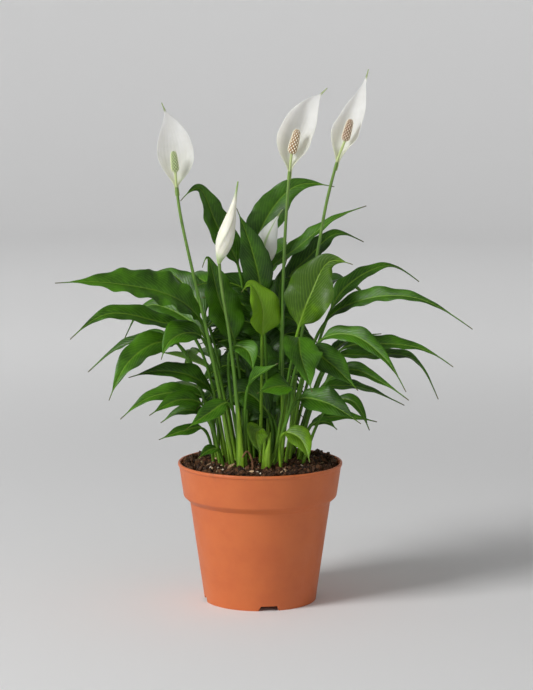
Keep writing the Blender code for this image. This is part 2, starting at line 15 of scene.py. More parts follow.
import bpy
import numpy as np
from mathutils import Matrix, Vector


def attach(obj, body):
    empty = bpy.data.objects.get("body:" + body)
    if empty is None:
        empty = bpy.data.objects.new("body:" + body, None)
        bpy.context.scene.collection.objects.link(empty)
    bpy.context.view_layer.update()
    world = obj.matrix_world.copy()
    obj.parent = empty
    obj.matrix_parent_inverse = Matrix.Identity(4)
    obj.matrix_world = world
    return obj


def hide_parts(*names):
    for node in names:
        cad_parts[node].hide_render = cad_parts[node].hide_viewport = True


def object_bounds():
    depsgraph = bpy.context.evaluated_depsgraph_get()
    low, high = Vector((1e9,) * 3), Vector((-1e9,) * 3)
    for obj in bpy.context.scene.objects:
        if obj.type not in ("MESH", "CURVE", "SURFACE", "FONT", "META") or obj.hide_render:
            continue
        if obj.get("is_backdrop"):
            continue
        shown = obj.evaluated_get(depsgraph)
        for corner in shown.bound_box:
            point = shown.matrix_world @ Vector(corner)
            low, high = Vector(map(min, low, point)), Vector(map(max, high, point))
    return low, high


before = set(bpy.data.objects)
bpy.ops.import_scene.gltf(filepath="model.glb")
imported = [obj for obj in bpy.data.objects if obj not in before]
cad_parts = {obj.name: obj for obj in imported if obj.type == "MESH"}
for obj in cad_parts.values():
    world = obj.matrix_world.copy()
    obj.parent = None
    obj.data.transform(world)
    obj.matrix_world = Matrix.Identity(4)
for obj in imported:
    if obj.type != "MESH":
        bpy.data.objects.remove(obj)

model_box = [list(corner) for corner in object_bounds()]
low, high = np.array(model_box)
print("fixed model:", len(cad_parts), "nodes,", np.round(1000 * (high - low)), "mm")

# %% [markdown]
# ## Camera and light
#
# A plant like this is usually pictured with a long lens from a couple of metres away, a little
# above the pot's rim, so that the pot's sides stay nearly upright and we still see some soil. The
# lens length, the distance and the tilt belong together: a long lens far away flattens the
# leaves' depth, and a short lens close by would make the near leaves look huge.

# %% Camera
CAMERA_PLACE = (0.00657, -2.400, 0.5947)
CAMERA_TILT = 0.136
LENS_LENGTH = 122.84

camera_data = bpy.data.cameras.new("camera")
camera_data.lens = LENS_LENGTH
camera_data.sensor_width = 36.0
camera = bpy.data.objects.new("camera", camera_data)
camera.location = CAMERA_PLACE
camera.rotation_euler = (math.pi / 2 - CAMERA_TILT, 0, 0)
bpy.context.scene.collection.objects.link(camera)
bpy.context.scene.camera = camera
print("camera:", LENS_LENGTH, "mm lens,", round(-CAMERA_PLACE[1], 2), "m in front")

# %% [markdown]
# The light is one big soft lamp in front and to the left, the way a window or a softbox lights a
# still life. Its size gives the soft-edged shadow that falls to the right and behind. A very weak
# lamp on the right only lends the shaded leaves a little shine, and the world adds an even grey
# that fills what the lamps don't reach.

# %% Lamps and world light
KEY_POWER = 163
FILL_POWER = 1
WORLD_STRENGTH = 0.25
WHITE = (1.0, 1.0, 1.0, 1.0)


def lamp(name, place, aim, size, power):
    """A square area lamp at a place, turned so that its -Z looks at the aim."""
    data = bpy.data.lights.new(name, "AREA")
    data.shape = "SQUARE"
    data.size = size
    data.energy = power
    made = bpy.data.objects.new(name, data)
    made.location = place
    toward = np.array(aim) - np.array(place)
    flat = math.hypot(toward[0], toward[1])
    made.rotation_euler = (math.atan2(flat, -toward[2]), 0, math.atan2(-toward[0], toward[1]))
    bpy.context.scene.collection.objects.link(made)


lamp("key_lamp", (-3.2, -2.16, 2.67), (0, 0, 0.22), 1.6, KEY_POWER)
lamp("fill_lamp", (1.6, -2.2, 1.2), (0, 0, 0.25), 1.8, FILL_POWER)

world = bpy.data.worlds.new("studio")
world.use_nodes = True
background = world.node_tree.nodes["Background"]
background.inputs["Color"].default_value = WHITE
background.inputs["Strength"].default_value = WORLD_STRENGTH
bpy.context.scene.world = world
bpy.context.scene.view_settings.view_transform = "Standard"

# %% [markdown]
# ## Small tools for making materials
#
# A material is a little graph: patterns on the left, the Principled shader on the right. Writing
# `tree.nodes.new` and `tree.links.new` for each box soon hides the idea, so a few helpers take a
# socket or a plain number alike. Numbers that are the same all over a surface go straight onto the
# shader's own sockets.

# %% Material helpers
def add(tree, kind, inputs, **settings):
    """Adds a node, sets its properties, and feeds each input from a socket or a plain value."""
    node = tree.nodes.new(kind)
    for key, value in settings.items():
        setattr(node, key, value)
    for key, value in inputs.items():
        if isinstance(value, bpy.types.NodeSocket):
            tree.links.new(value, node.inputs[key])
        else:
            node.inputs[key].default_value = value
    return node


def linear(*channels):
    """A colour written as sRGB shares, turned into the linear light that shaders work in."""
    c = np.array(channels)
    return (*np.where(c <= 0.04045, c / 12.92, ((c + 0.055) / 1.055) ** 2.4), 1.0)


def rgb(red, green, blue):
    return linear(red / 255, green / 255, blue / 255)


def calc(tree, operation, *values, clamp=False):
    """One Math node: the operation on one, two or three values."""
    node = add(tree, "ShaderNodeMath", dict(enumerate(values)), operation=operation, use_clamp=clamp)
    return node.outputs[0]


def blend(tree, share, first, second):
    """The first colour where the share is 0, the second where it is 1."""
    node = add(tree, "ShaderNodeMix", {0: share, 6: first, 7: second}, data_type="RGBA")
    return node.outputs[2]


def stretch(tree, value, start, end, low=0.0, high=1.0):
    """Carries the range start..end smoothly onto low..high, and holds it there outside."""
    node = add(tree, "ShaderNodeMapRange", {0: value, 1: start, 2: end, 3: low, 4: high},
               interpolation_type="SMOOTHSTEP")
    return node.outputs[0]


print("middle grey is", round(float(rgb(128, 128, 128)[0]), 3), "in linear light")

# %% Patterns and finishes
def cloud(tree, place, scale, detail=3.0, roughness=0.55):
    """Soft noise from 0 to 1; its blobs are about 1/scale metres across."""
    inputs = {"Vector": place, "Scale": scale, "Detail": detail, "Roughness": roughness}
    return add(tree, "ShaderNodeTexNoise", inputs).outputs[0]


def own_place(tree):
    return tree.nodes.new("ShaderNodeTexCoord").outputs["Object"]


def drawn_up(tree, place, share):
    """The place with its height times a small share, so that a pattern there is drawn out upwards."""
    return add(tree, "ShaderNodeMapping", {"Vector": place, "Scale": (1, 1, share)}).outputs[0]


def mark(tree, name):
    """The three numbers that a mesh stores at its points under a name."""
    stored = add(tree, "ShaderNodeAttribute", {}, attribute_name=name).outputs["Vector"]
    return add(tree, "ShaderNodeSeparateXYZ", {0: stored}).outputs


def raised(tree, height, distance, strength=1.0, under=None):
    """Bends the light as if the surface rose by distance where the height goes from 0 to 1."""
    inputs = {"Strength": strength, "Distance": distance, "Height": height}
    if under:
        inputs["Normal"] = under
    return add(tree, "ShaderNodeBump", inputs).outputs[0]


def new_finish(name):
    """An empty material, its node tree and its Principled shader."""
    material = bpy.data.materials.new(name)
    material.use_nodes = True
    return material, material.node_tree, material.node_tree.nodes["Principled BSDF"]


def feed(tree, shader, **inputs):
    """Feeds the shader's sockets, named with _ for spaces."""
    for key, value in inputs.items():
        socket = shader.inputs[key.replace("_", " ")]
        if isinstance(value, bpy.types.NodeSocket):
            tree.links.new(value, socket)
        else:
            socket.default_value = value


print("finishes so far:", len(bpy.data.materials))

# %% [markdown]
# ## Small tools for making shapes
#
# Nearly everything here is a path with a section carried along it. So a few helpers do the common
# work: a smooth curve through a few points, points spaced evenly along it, and two directions
# square to it at each point. With those, a surface is one array of rings.

# %% Curves
def unit(vectors):
    return vectors / np.linalg.norm(vectors, axis=-1, keepdims=True)


def smooth(value, start=0.0, end=1.0):
    """0 before start, 1 after end, and 3t^2 - 2t^3 in between."""
    t = np.clip((value - start) / (end - start), 0, 1)
    return t * t * (3 - 2 * t)


def curve_through(points, count=24):
    """Cubic spans through the points. The slope at a point is the mean of its two neighbours'
    chords, each weighed by the other's root of length, so the bends stay even."""
    stops = np.asarray(points, float)
    chord = np.diff(stops, axis=0)
    step = np.sqrt(np.linalg.norm(chord, axis=1, keepdims=True))
    slope = chord / step
    bend = np.empty_like(stops)
    bend[1:-1] = (slope[:-1] * step[1:] + slope[1:] * step[:-1]) / (step[1:] + step[:-1])
    bend[0] = 1.5 * slope[0] - 0.5 * bend[1]
    bend[-1] = 1.5 * slope[-1] - 0.5 * bend[-2]
    u = np.linspace(0, 1, count)[None, :, None]
    start, end, reach = stops[:-1, None], stops[1:, None], step[:, None]
    leave, arrive = reach * bend[:-1, None], reach * bend[1:, None]
    return (
        (2 * u**3 - 3 * u**2 + 1) * start
        + (u**3 - 2 * u**2 + u) * leave
        + (3 * u**2 - 2 * u**3) * end
        + (u**3 - u**2) * arrive
    )


def travelled(path):
    """The distance from the path's start to each of its points."""
    return np.concatenate([[0], np.cumsum(np.linalg.norm(np.diff(path, axis=0), axis=1))])


def along(spans, shares):
    """The points at the given shares of the spans' whole length."""
    path = spans.reshape(-1, 3)
    distance = travelled(path)
    wanted = np.asarray(shares) * distance[-1]
    return np.stack([np.interp(wanted, distance, path[:, k]) for k in range(3)], axis=1)


def read_along(share, values):
    """A value for each share, read along a short list whose entries stand evenly from 0 to 1."""
    return np.interp(share, np.linspace(0, 1, len(values)), values)


bow = curve_through([(-1, 0, 0), (0, 1, 0), (1, 0, 0)])
print("a bow through 3 points is", round(float(travelled(bow.reshape(-1, 3))[-1]), 2), "long")

# %% Sections along a line
ROUND_POINTS = 28


def across(line, side):
    """Two directions square to the line at each point: towards side, and square to that."""
    ahead = unit(np.gradient(line, axis=0))
    sideways = unit(side - (ahead @ side)[:, None] * ahead)
    return sideways, np.cross(ahead, sideways)


def carried(line, sideways, upwards, u, v):
    """Rings of points: each is its point of the line plus u sideways and v upwards."""
    return line[:, None] + u[:, :, None] * sideways[:, None] + v[:, :, None] * upwards[:, None]


def round_section(line, radius, shape=1.0, points=ROUND_POINTS):
    """Rings of the given radii on each point of the line. shape scales the radius round the ring."""
    sideways, upwards = across(line, np.array([1.0, 0.0, 0.0]))
    angle = 2 * np.pi * np.arange(points) / points
    reach = radius[:, None] * shape
    return carried(line, sideways, upwards, reach * np.cos(angle), reach * np.sin(angle))


print("a round section carried along the bow:", round_section(bow[0], np.ones(len(bow[0]))).shape)

# %% [markdown]
# The rings then become a closed skin: each ring is joined to the next by quads, and a point in the
# middle of the first and the last ring closes the two ends. A closed surface has an inside and an
# outside, and its signed volume tells which way its faces look: if the sum comes out negative,
# every face is turned round.

# %% From rings to a closed piece
ROOT_BODY = "root"
made_pieces = {}


def skin(rings, around):
    """The faces of a closed skin over a grid of points, with a pole at either end."""
    index = np.arange(rings * around).reshape(rings, around)
    beside = np.roll(index, -1, axis=1)
    quads = np.stack([index[:-1], beside[:-1], beside[1:], index[1:]], axis=-1).reshape(-1, 4)
    first_pole, last_pole = np.full((2, around), rings * around) + [[0], [1]]
    foot = np.stack([beside[0], index[0], first_pole], axis=-1)
    top = np.stack([index[-1], beside[-1], last_pole], axis=-1)
    return quads, np.concatenate([foot, top])


def signed_volume(points, triangles):
    a, b, c = (points[triangles[:, k]] for k in range(3))
    return (a * np.cross(b, c)).sum() / 6


def closed(name, points):
    """A closed mesh from rings of points, with all its faces looking outwards."""
    quads, fans = skin(*points.shape[:2])
    places = np.concatenate([points.reshape(-1, 3), points[[0, -1]].mean(axis=1)])
    halves = np.concatenate([quads[:, [0, 1, 2]], quads[:, [0, 2, 3]], fans])
    if signed_volume(places - places.mean(axis=0), halves) < 0:
        quads, fans = quads[:, ::-1], fans[:, ::-1]
    data = bpy.data.meshes.new(name)
    data.from_pydata(places, [], quads.tolist() + fans.tolist())
    return data


def grown(name, points, finish, slot, replaced=(), sharp=50, **marks):
    """A closed piece from rings of points. Each mark is three numbers stored at every point."""
    data = closed(name, points)
    for label, values in marks.items():
        values = np.broadcast_to(values, points.shape)
        values = np.concatenate([values.reshape(-1, 3), values[[0, -1]].mean(axis=1)])
        data.attributes.new(label, "FLOAT_VECTOR", "POINT").data.foreach_set("vector", values.ravel())
    return finished(name, data, finish, replaced, sharp)


def finished(name, data, finish, replaced=(), sharp=50):
    """Gives a mesh its material, puts it in the scene and ties it to the fixed model."""
    data.shade_smooth()
    data.set_sharp_from_angle(angle=math.radians(sharp))
    data.materials.append(finish)
    piece = bpy.data.objects.new(name, data)
    bpy.context.scene.collection.objects.link(piece)
    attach(piece, ROOT_BODY)
    if replaced:
        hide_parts(*replaced)
    made_pieces[name] = piece
    return piece


def in_order(*columns):
    """Three grids, rows, columns or single numbers, side by side as one grid of marks."""
    return np.stack(np.broadcast_arrays(*columns), axis=-1)


print("a skin over 4 rings of 24 points has", sum(len(part) for part in skin(4, 24)), "faces")

# %% [markdown]
# ## The pot
#
# A nursery pot is injection-moulded in one piece about 1.3 mm thick: a tapered body, a wider band
# round the top that stiffens it and lets pots stack, a rolled lip, and a raised base with drainage.
# Everything but the drainage is round, so the pot is an outline turned about the upright axis.
#
# Plastic never ends in a knife-sharp corner. Each corner of the outline is replaced by a small arc
# before turning, because the light that catches on such an edge is what tells the eye how big the
# pot is.

# %% The pot's outline
POT_HEIGHT = 0.145
RIM_RADIUS = 0.085
FOOT_RADIUS = 0.059
WALL = 0.0013
LIP_HEIGHT = 0.003
LIP_OVERHANG = 0.0012
BAND_HEIGHT = 0.035
BAND_TAPER = 0.0045
BAND_STEP = 0.0065
BAND_CHAMFER = 0.006
SEAT_RADIUS = 0.036
GUTTER_HEIGHT = 0.006
GUTTER_SLOPE = 0.004
HAIR = 0.0001
OUTLINE_STEP = 0.006

band_foot = POT_HEIGHT - BAND_HEIGHT
band_top_radius = RIM_RADIUS - LIP_OVERHANG
band_foot_radius = band_top_radius - BAND_TAPER
body_radius = band_foot_radius - BAND_STEP
body_top = band_foot - BAND_CHAMFER
lip_foot = POT_HEIGHT - LIP_HEIGHT
gutter_edge = SEAT_RADIUS + GUTTER_SLOPE
gutter_top = GUTTER_HEIGHT + WALL

# Each corner is a radius, a height, and how far from the corner its rounding starts.
outside = [
    (0, 0, 0), (SEAT_RADIUS, 0, 0.0015), (gutter_edge, GUTTER_HEIGHT, 0.001),
    (FOOT_RADIUS - 2 * WALL, GUTTER_HEIGHT, 0.0005), (FOOT_RADIUS - 2 * WALL, 0, 0.0003),
    (FOOT_RADIUS - 0.001, 0, 0.0004), (FOOT_RADIUS, 0.008, 0.003), (body_radius, body_top, 0.0007),
    (band_foot_radius, band_foot, 0.0014), (band_top_radius, lip_foot - LIP_OVERHANG, 0.0006),
    (RIM_RADIUS, lip_foot, 0.0006), (RIM_RADIUS, POT_HEIGHT, 0.0014),
]
inside = [
    (0, WALL, 0), (SEAT_RADIUS - WALL, WALL, 0.001), (gutter_edge - WALL, gutter_top, 0.001),
    (FOOT_RADIUS - WALL, gutter_top, 0.002), (body_radius - WALL, body_top, 0.001),
    (band_foot_radius - WALL, band_foot, 0.001), (band_top_radius - WALL, POT_HEIGHT, 0.0011),
]


def eased(corners, steps=6):
    """An outline with each corner replaced by a parabola from one side to the other."""
    corners = np.array(corners, float)
    place, reach = corners[:, :2], corners[1:-1, 2:]
    before, after = unit(place[:-2] - place[1:-1]), unit(place[2:] - place[1:-1])
    start, end = place[1:-1] + before * reach, place[1:-1] + after * reach
    t = np.linspace(0, 1, steps)[:, None, None]
    arcs = (1 - t) ** 2 * start + 2 * t * (1 - t) * place[1:-1] + t**2 * end
    return np.concatenate([place[:1], arcs.transpose(1, 0, 2).reshape(-1, 2), place[-1:]])


def filled_in(outline, longest):
    """The same outline with extra points, so that no stretch is longer than longest."""
    distance = travelled(outline)
    counts = np.maximum(np.ceil(np.diff(distance) / longest).astype(int), 1)
    stops = [np.linspace(a, b, n, endpoint=False) for a, b, n in zip(distance, distance[1:], counts)]
    wanted = np.append(np.concatenate(stops), distance[-1])
    return np.stack([np.interp(wanted, distance, outline[:, k]) for k in range(2)], axis=1)


pot_outline = eased([*outside, *inside[::-1]])
pot_outline[0, 0] = pot_outline[-1, 0] = HAIR
pot_outline = filled_in(pot_outline, OUTLINE_STEP)
print("pot outline:", len(pot_outline), "points from", len(outside) + len(inside), "corners")

# %% [markdown]
# The drainage notches are cut by the outline itself. At four places round the foot the two edges
# that stand on the ground are lifted: every point of the foot's ring below the notch's ceiling is
# raised to it. The round holes in the base really pierce the plastic, so those are cut later with
# a Boolean, by eight short rods.
#
# Real pots are never quite round either. A few hundredths of a millimetre of squash, more at the
# top than lower down, is enough to take the lathe out of the highlight.

# %% Turning the pot
POT_SIDES = 288
NOTCH_COUNT = 4
NOTCH_HALF = 0.0100
NOTCH_TOP_HALF = 0.0085
NOTCH_HEIGHT = 0.005
NOTCH_TURN = math.radians(9)
FOOT_RING = 2.9 * WALL
HOLE_COUNT = 8
HOLE_RADIUS = 0.003
ROD_SIDES = 24
OVAL = 0.0004
THREE_SIDED = 0.0002
TRUE_BELOW = 0.02


def turned(outline, sides):
    """Rings about the Z axis, one for each point of an outline of (radius, height)."""
    angle = 2 * np.pi * np.arange(sides) / sides
    radius, height = outline[:, :1], outline[:, 1:]
    return np.stack(np.broadcast_arrays(radius * np.cos(angle), radius * np.sin(angle), height), axis=-1)


def notched(rings):
    """Lifts the foot inside each notch: by the notch's height, less a slope at its two sides."""
    x, y, z = np.moveaxis(rings, -1, 0)
    radius = np.hypot(x, y)
    pitch = 2 * np.pi / NOTCH_COUNT
    turn = (np.arctan2(x, -y) - NOTCH_TURN + pitch / 2) % pitch - pitch / 2
    sideways = np.abs(radius * np.sin(turn))
    ceiling = NOTCH_HEIGHT * np.clip((NOTCH_HALF - sideways) / (NOTCH_HALF - NOTCH_TOP_HALF), 0, 1)
    lifted = rings.copy()
    lifted[..., 2] = np.where((radius > FOOT_RADIUS - FOOT_RING) & (z < ceiling), ceiling, z)
    return lifted


pot_rings = notched(turned(pot_outline, POT_SIDES))
around = np.arctan2(pot_rings[..., 1], pot_rings[..., 0])
tall = pot_rings[..., 2:] / POT_HEIGHT
squash = OVAL * np.cos(2 * around + 0.7)[..., None] * tall + THREE_SIDED * np.cos(3 * around)[..., None]
pot_rings[..., :2] *= 1 + squash * (pot_rings[..., 2:] > TRUE_BELOW)
pot_rings[..., :2] *= np.minimum(1, (RIM_RADIUS / np.hypot(*pot_rings[..., :2].T).T))[..., None]
print("pot grid:", pot_rings.shape[:2])

# %% [markdown]
# Terracotta-coloured plastic is dyed right through. Up close it isn't one colour: the dye swirls
# a little as the plastic flows into the mould, soil has left a faint brown bloom near the lip, and
# handling leaves short, slightly shinier scuffs. The surface has a fine matt grain, with very
# shallow rings where the mould was turned.

# %% Pot plastic
TERRACOTTA = rgb(203, 107, 54)
TERRACOTTA_DEEP = rgb(196, 100, 51)
SOIL_BLOOM = rgb(133, 84, 58)


def pot_plastic():
    material, tree, shader = new_finish("terracotta_plastic")
    place = own_place(tree)
    height = add(tree, "ShaderNodeSeparateXYZ", {0: place}).outputs["Z"]
    swirl = cloud(tree, place, 26, 4.0, 0.6)
    colour = blend(tree, stretch(tree, swirl, 0.35, 0.7), TERRACOTTA, TERRACOTTA_DEEP)
    stained = cloud(tree, place, 120, 5.0, 0.7)
    near_lip = stretch(tree, height, POT_HEIGHT - 0.012, POT_HEIGHT)
    bloom = calc(tree, "MULTIPLY", near_lip, stretch(tree, stained, 0.52, 0.78, 0, 0.5))
    colour = blend(tree, bloom, colour, SOIL_BLOOM)
    grain = cloud(tree, place, 2600, 2.0, 0.5)
    turning = add(tree, "ShaderNodeTexWave", {"Vector": place, "Scale": 190, "Distortion": 1.5},
                  wave_type="BANDS", bands_direction="Z").outputs[1]
    scuffs = stretch(tree, cloud(tree, drawn_up(tree, place, 0.02), 420, 3.0, 0.7), 0.62, 0.74)
    rough = stretch(tree, cloud(tree, place, 60, 3.0, 0.6), 0.3, 0.75, 0.44, 0.56)
    rough = calc(tree, "SUBTRACT", rough, calc(tree, "MULTIPLY", scuffs, 0.07))
    normal = raised(tree, grain, 0.00012, 0.35)
    normal = raised(tree, turning, 0.00005, 0.25, normal)
    feed(tree, shader, Base_Color=colour, Roughness=rough, Normal=normal)
    feed(tree, shader, Specular_IOR_Level=0.5, Subsurface_Weight=0.04)
    feed(tree, shader, Subsurface_Radius=(0.6, 0.25, 0.1), Subsurface_Scale=0.002)
    return material


pot = grown("nursery_pot", pot_rings, pot_plastic(), "pot_plastic", ["pot"], sharp=40)


def pierced(piece, place, radius, low, high):
    """Cuts an upright round hole through a piece between two heights, and applies the cut."""
    outline = np.array([(HAIR, low), (radius, low), (radius, high), (HAIR, high)])
    rod = bpy.data.objects.new("rod", closed("rod", turned(outline, ROD_SIDES) + [*place, 0]))
    bpy.context.scene.collection.objects.link(rod)
    change = piece.modifiers.new("hole", "BOOLEAN")
    change.operation, change.solver, change.object = "DIFFERENCE", "EXACT", rod
    graph = bpy.context.evaluated_depsgraph_get()
    cut = bpy.data.meshes.new_from_object(piece.evaluated_get(graph))
    piece.modifiers.remove(change)
    piece.data = cut
    bpy.data.objects.remove(rod)


hole_circle = (gutter_edge + FOOT_RADIUS) / 2
for turn in 2 * np.pi * (np.arange(HOLE_COUNT) + 0.5) / HOLE_COUNT:
    place = hole_circle * np.cos(turn), hole_circle * np.sin(turn)
    pierced(pot, place, HOLE_RADIUS, GUTTER_HEIGHT - WALL, GUTTER_HEIGHT + 2 * WALL)
print("pot:", len(pot.data.polygons), "faces,", HOLE_COUNT, "holes")

# %% [markdown]
# ## The soil
#
# Potting soil is peat and bark with white grains of perlite. From a metre away it reads as a dark,
# crumbly surface in which some pale grains and flakes shine. Two things together make that: a bed
# whose height is the sum of several soft noises, from hazelnut-sized heaps down to grit, and over
# two thousand loose crumbs that really stand on it and throw their own small shadows.
#
# Noise made with numpy works like Blender's: random heights on a lattice, blended smoothly in
# between. Each octave about halves the size and lowers the height.

# %% Height of the soil
SOIL_EDGE = POT_HEIGHT - 0.0045
SOIL_DOME = 0.0065
GROUND = SOIL_EDGE + SOIL_DOME
SOIL_GAP = 0.0003
SOIL_SIDES = 260
SOIL_RINGS = 62
LATTICE = 128
LATTICE_SHIFT = 300.0


def lattice_noise(x, y, size, seed):
    """Random numbers from -1 to 1 on a square lattice, blended between with a smooth step."""
    table = np.random.default_rng(seed).uniform(-1, 1, (LATTICE, LATTICE))
    column, row = x / size + LATTICE_SHIFT, y / size + LATTICE_SHIFT
    i, j = np.floor(column).astype(int), np.floor(row).astype(int)
    u, v = smooth(column - i), smooth(row - j)
    i, j = i % (LATTICE - 1), j % (LATTICE - 1)
    lower = table[i, j] * (1 - u) + table[i + 1, j] * u
    upper = table[i, j + 1] * (1 - u) + table[i + 1, j + 1] * u
    return lower * (1 - v) + upper * v


def soil_height(x, y, radius):
    """A shallow dome, plus four octaves of noise. The two larger ones fade out at the pot's wall."""
    share = np.clip(np.hypot(x, y) / radius, 0, 1)
    heaps = 0.0016 * lattice_noise(x, y, 0.017, 1) + 0.0011 * lattice_noise(x, y, 0.008, 2)
    grit = 0.0007 * lattice_noise(x, y, 0.0036, 3) + 0.0004 * lattice_noise(x, y, 0.0018, 4)
    return SOIL_EDGE + SOIL_DOME * (1 - share**2) + heaps * (1 - share**6) + grit


soil_wall = np.array([
    (gutter_edge - WALL, gutter_top + SOIL_GAP), (FOOT_RADIUS - WALL - SOIL_GAP, gutter_top + SOIL_GAP),
    (body_radius - WALL - SOIL_GAP, body_top), (band_foot_radius - WALL - SOIL_GAP, band_foot),
])
wall_slope = (band_top_radius - band_foot_radius) / BAND_HEIGHT
soil_radius = band_foot_radius - WALL - SOIL_GAP + wall_slope * (SOIL_EDGE - band_foot)
top_radii = soil_radius * np.linspace(1, 0, SOIL_RINGS)[:-1] ** 0.9
top = turned(np.stack([top_radii, np.zeros_like(top_radii)], axis=1), SOIL_SIDES)
top[..., 2] = soil_height(top[..., 0], top[..., 1], soil_radius)
soil_foot = np.array([(HAIR, WALL + SOIL_GAP), (SEAT_RADIUS - WALL - SOIL_GAP, WALL + SOIL_GAP)])
soil_rings = np.concatenate([turned(soil_foot, SOIL_SIDES), turned(soil_wall, SOIL_SIDES), top])
print("soil: dome", 1000 * SOIL_DOME, "mm over a circle of", round(2000 * soil_radius), "mm")

# %% [markdown]
# Moist peat is nearly black in its hollows and a warm brown where it has dried on top. The same
# material serves the bed and the crumbs: each crumb stores its own tone, so no two neighbours
# match. Its surface is rough all the way down, with a little damp shine in places.

# %% Peat, perlite and bark
def peat():
    material, tree, shader = new_finish("potting_peat")
    place = own_place(tree)
    tone = mark(tree, "crumb")[0]
    fine = cloud(tree, place, 700, 6.0, 0.75)
    patches = cloud(tree, place, 90, 3.0, 0.6)
    heaps = stretch(tree, patches, 0.25, 0.75, 0.35, 1)
    share = calc(tree, "MULTIPLY", stretch(tree, fine, 0.36, 0.7), heaps)
    share = calc(tree, "ADD", share, tone, clamp=True)
    colour = blend(tree, share, rgb(30, 20, 14), rgb(118, 80, 52))
    pale = stretch(tree, cloud(tree, place, 1500, 2.0, 0.5), 0.70, 0.76)
    colour = blend(tree, pale, colour, rgb(176, 146, 112))
    damp = stretch(tree, patches, 0.3, 0.55, 0.62, 0.92)
    normal = raised(tree, fine, 0.0010, 0.9)
    feed(tree, shader, Base_Color=colour, Roughness=damp, Normal=normal, Specular_IOR_Level=0.3)
    return material


def grain_finish(name, light, dark, scale):
    material, tree, shader = new_finish(name)
    place = own_place(tree)
    pores = cloud(tree, place, scale, 4.0, 0.7)
    tone = mark(tree, "crumb")[0]
    share = calc(tree, "ADD", stretch(tree, pores, 0.3, 0.7), tone, clamp=True)
    colour = blend(tree, share, dark, light)
    feed(tree, shader, Base_Color=colour, Roughness=0.85, Normal=raised(tree, pores, 0.0004, 0.8))
    return material


peat_finish = peat()
perlite_finish = grain_finish("perlite", rgb(226, 214, 194), rgb(150, 126, 100), 900)
flake_finish = grain_finish("pale_bark", rgb(226, 196, 154), rgb(156, 116, 80), 700)
bark_finish = grain_finish("bark_flakes", rgb(120, 78, 52), rgb(52, 32, 22), 500)
grown("soil_bed", soil_rings, peat_finish, "potting_soil", ["soil"], sharp=180, crumb=in_order(0.0, 0, 0))
print("soil bed:", len(made_pieces["soil_bed"].data.polygons), "faces")

# %% [markdown]
# A crumb is an octahedron with each face split in four, pushed in and out by chance: 32 faces,
# which is plenty for something smaller than a lentil. All crumbs are worked out at once. The
# shape's 18 points are multiplied by a (crumbs, 3) array of sizes, turned by a (crumbs, 3, 3) array
# of rotations, and set down on the soil, and no loop is needed.

# %% The shape of a crumb
def lump():
    """An octahedron with every edge split in the middle and the new points pushed onto a ball."""
    corners = np.array([(1, 0, 0), (-1, 0, 0), (0, 1, 0), (0, -1, 0), (0, 0, 1), (0, 0, -1)], float)
    faces = [(a, b, c) for a in (0, 1) for b in (2, 3) for c in (4, 5)]
    points, triangles, middle = list(corners), [], {}

    def between(a, b):
        key = (min(a, b), max(a, b))
        if key not in middle:
            middle[key] = len(points)
            points.append(unit(corners[a] + corners[b]))
        return middle[key]

    for a, b, c in faces:
        if np.dot(corners[a], np.cross(corners[b], corners[c])) < 0:
            b, c = c, b
        ab, bc, ca = between(a, b), between(b, c), between(c, a)
        triangles += [(a, ab, ca), (ab, b, bc), (ca, bc, c), (ab, bc, ca)]
    return np.array(points), np.array(triangles)


LUMP_POINTS, LUMP_FACES = lump()
print("a crumb has", len(LUMP_POINTS), "points and", len(LUMP_FACES), "faces")

# %% Loose crumbs
def turns(rng, count, upright=False):
    """Random rotation matrices, from unit quaternions: any turn, or one mostly about Z."""
    if upright:
        tilt = rng.normal(0, 0.25, (count, 2))
        angle = rng.uniform(0, np.pi, count)
        q = unit(np.stack([np.cos(angle), tilt[:, 0], tilt[:, 1], np.sin(angle)], axis=1))
    else:
        q = unit(rng.normal(size=(count, 4)))
    w, x, y, z = q.T
    return np.stack([
        np.stack([1 - 2 * (y * y + z * z), 2 * (x * y - w * z), 2 * (x * z + w * y)], axis=1),
        np.stack([2 * (x * y + w * z), 1 - 2 * (x * x + z * z), 2 * (y * z - w * x)], axis=1),
        np.stack([2 * (x * z - w * y), 2 * (y * z + w * x), 1 - 2 * (x * x + y * y)], axis=1),
    ], axis=1)


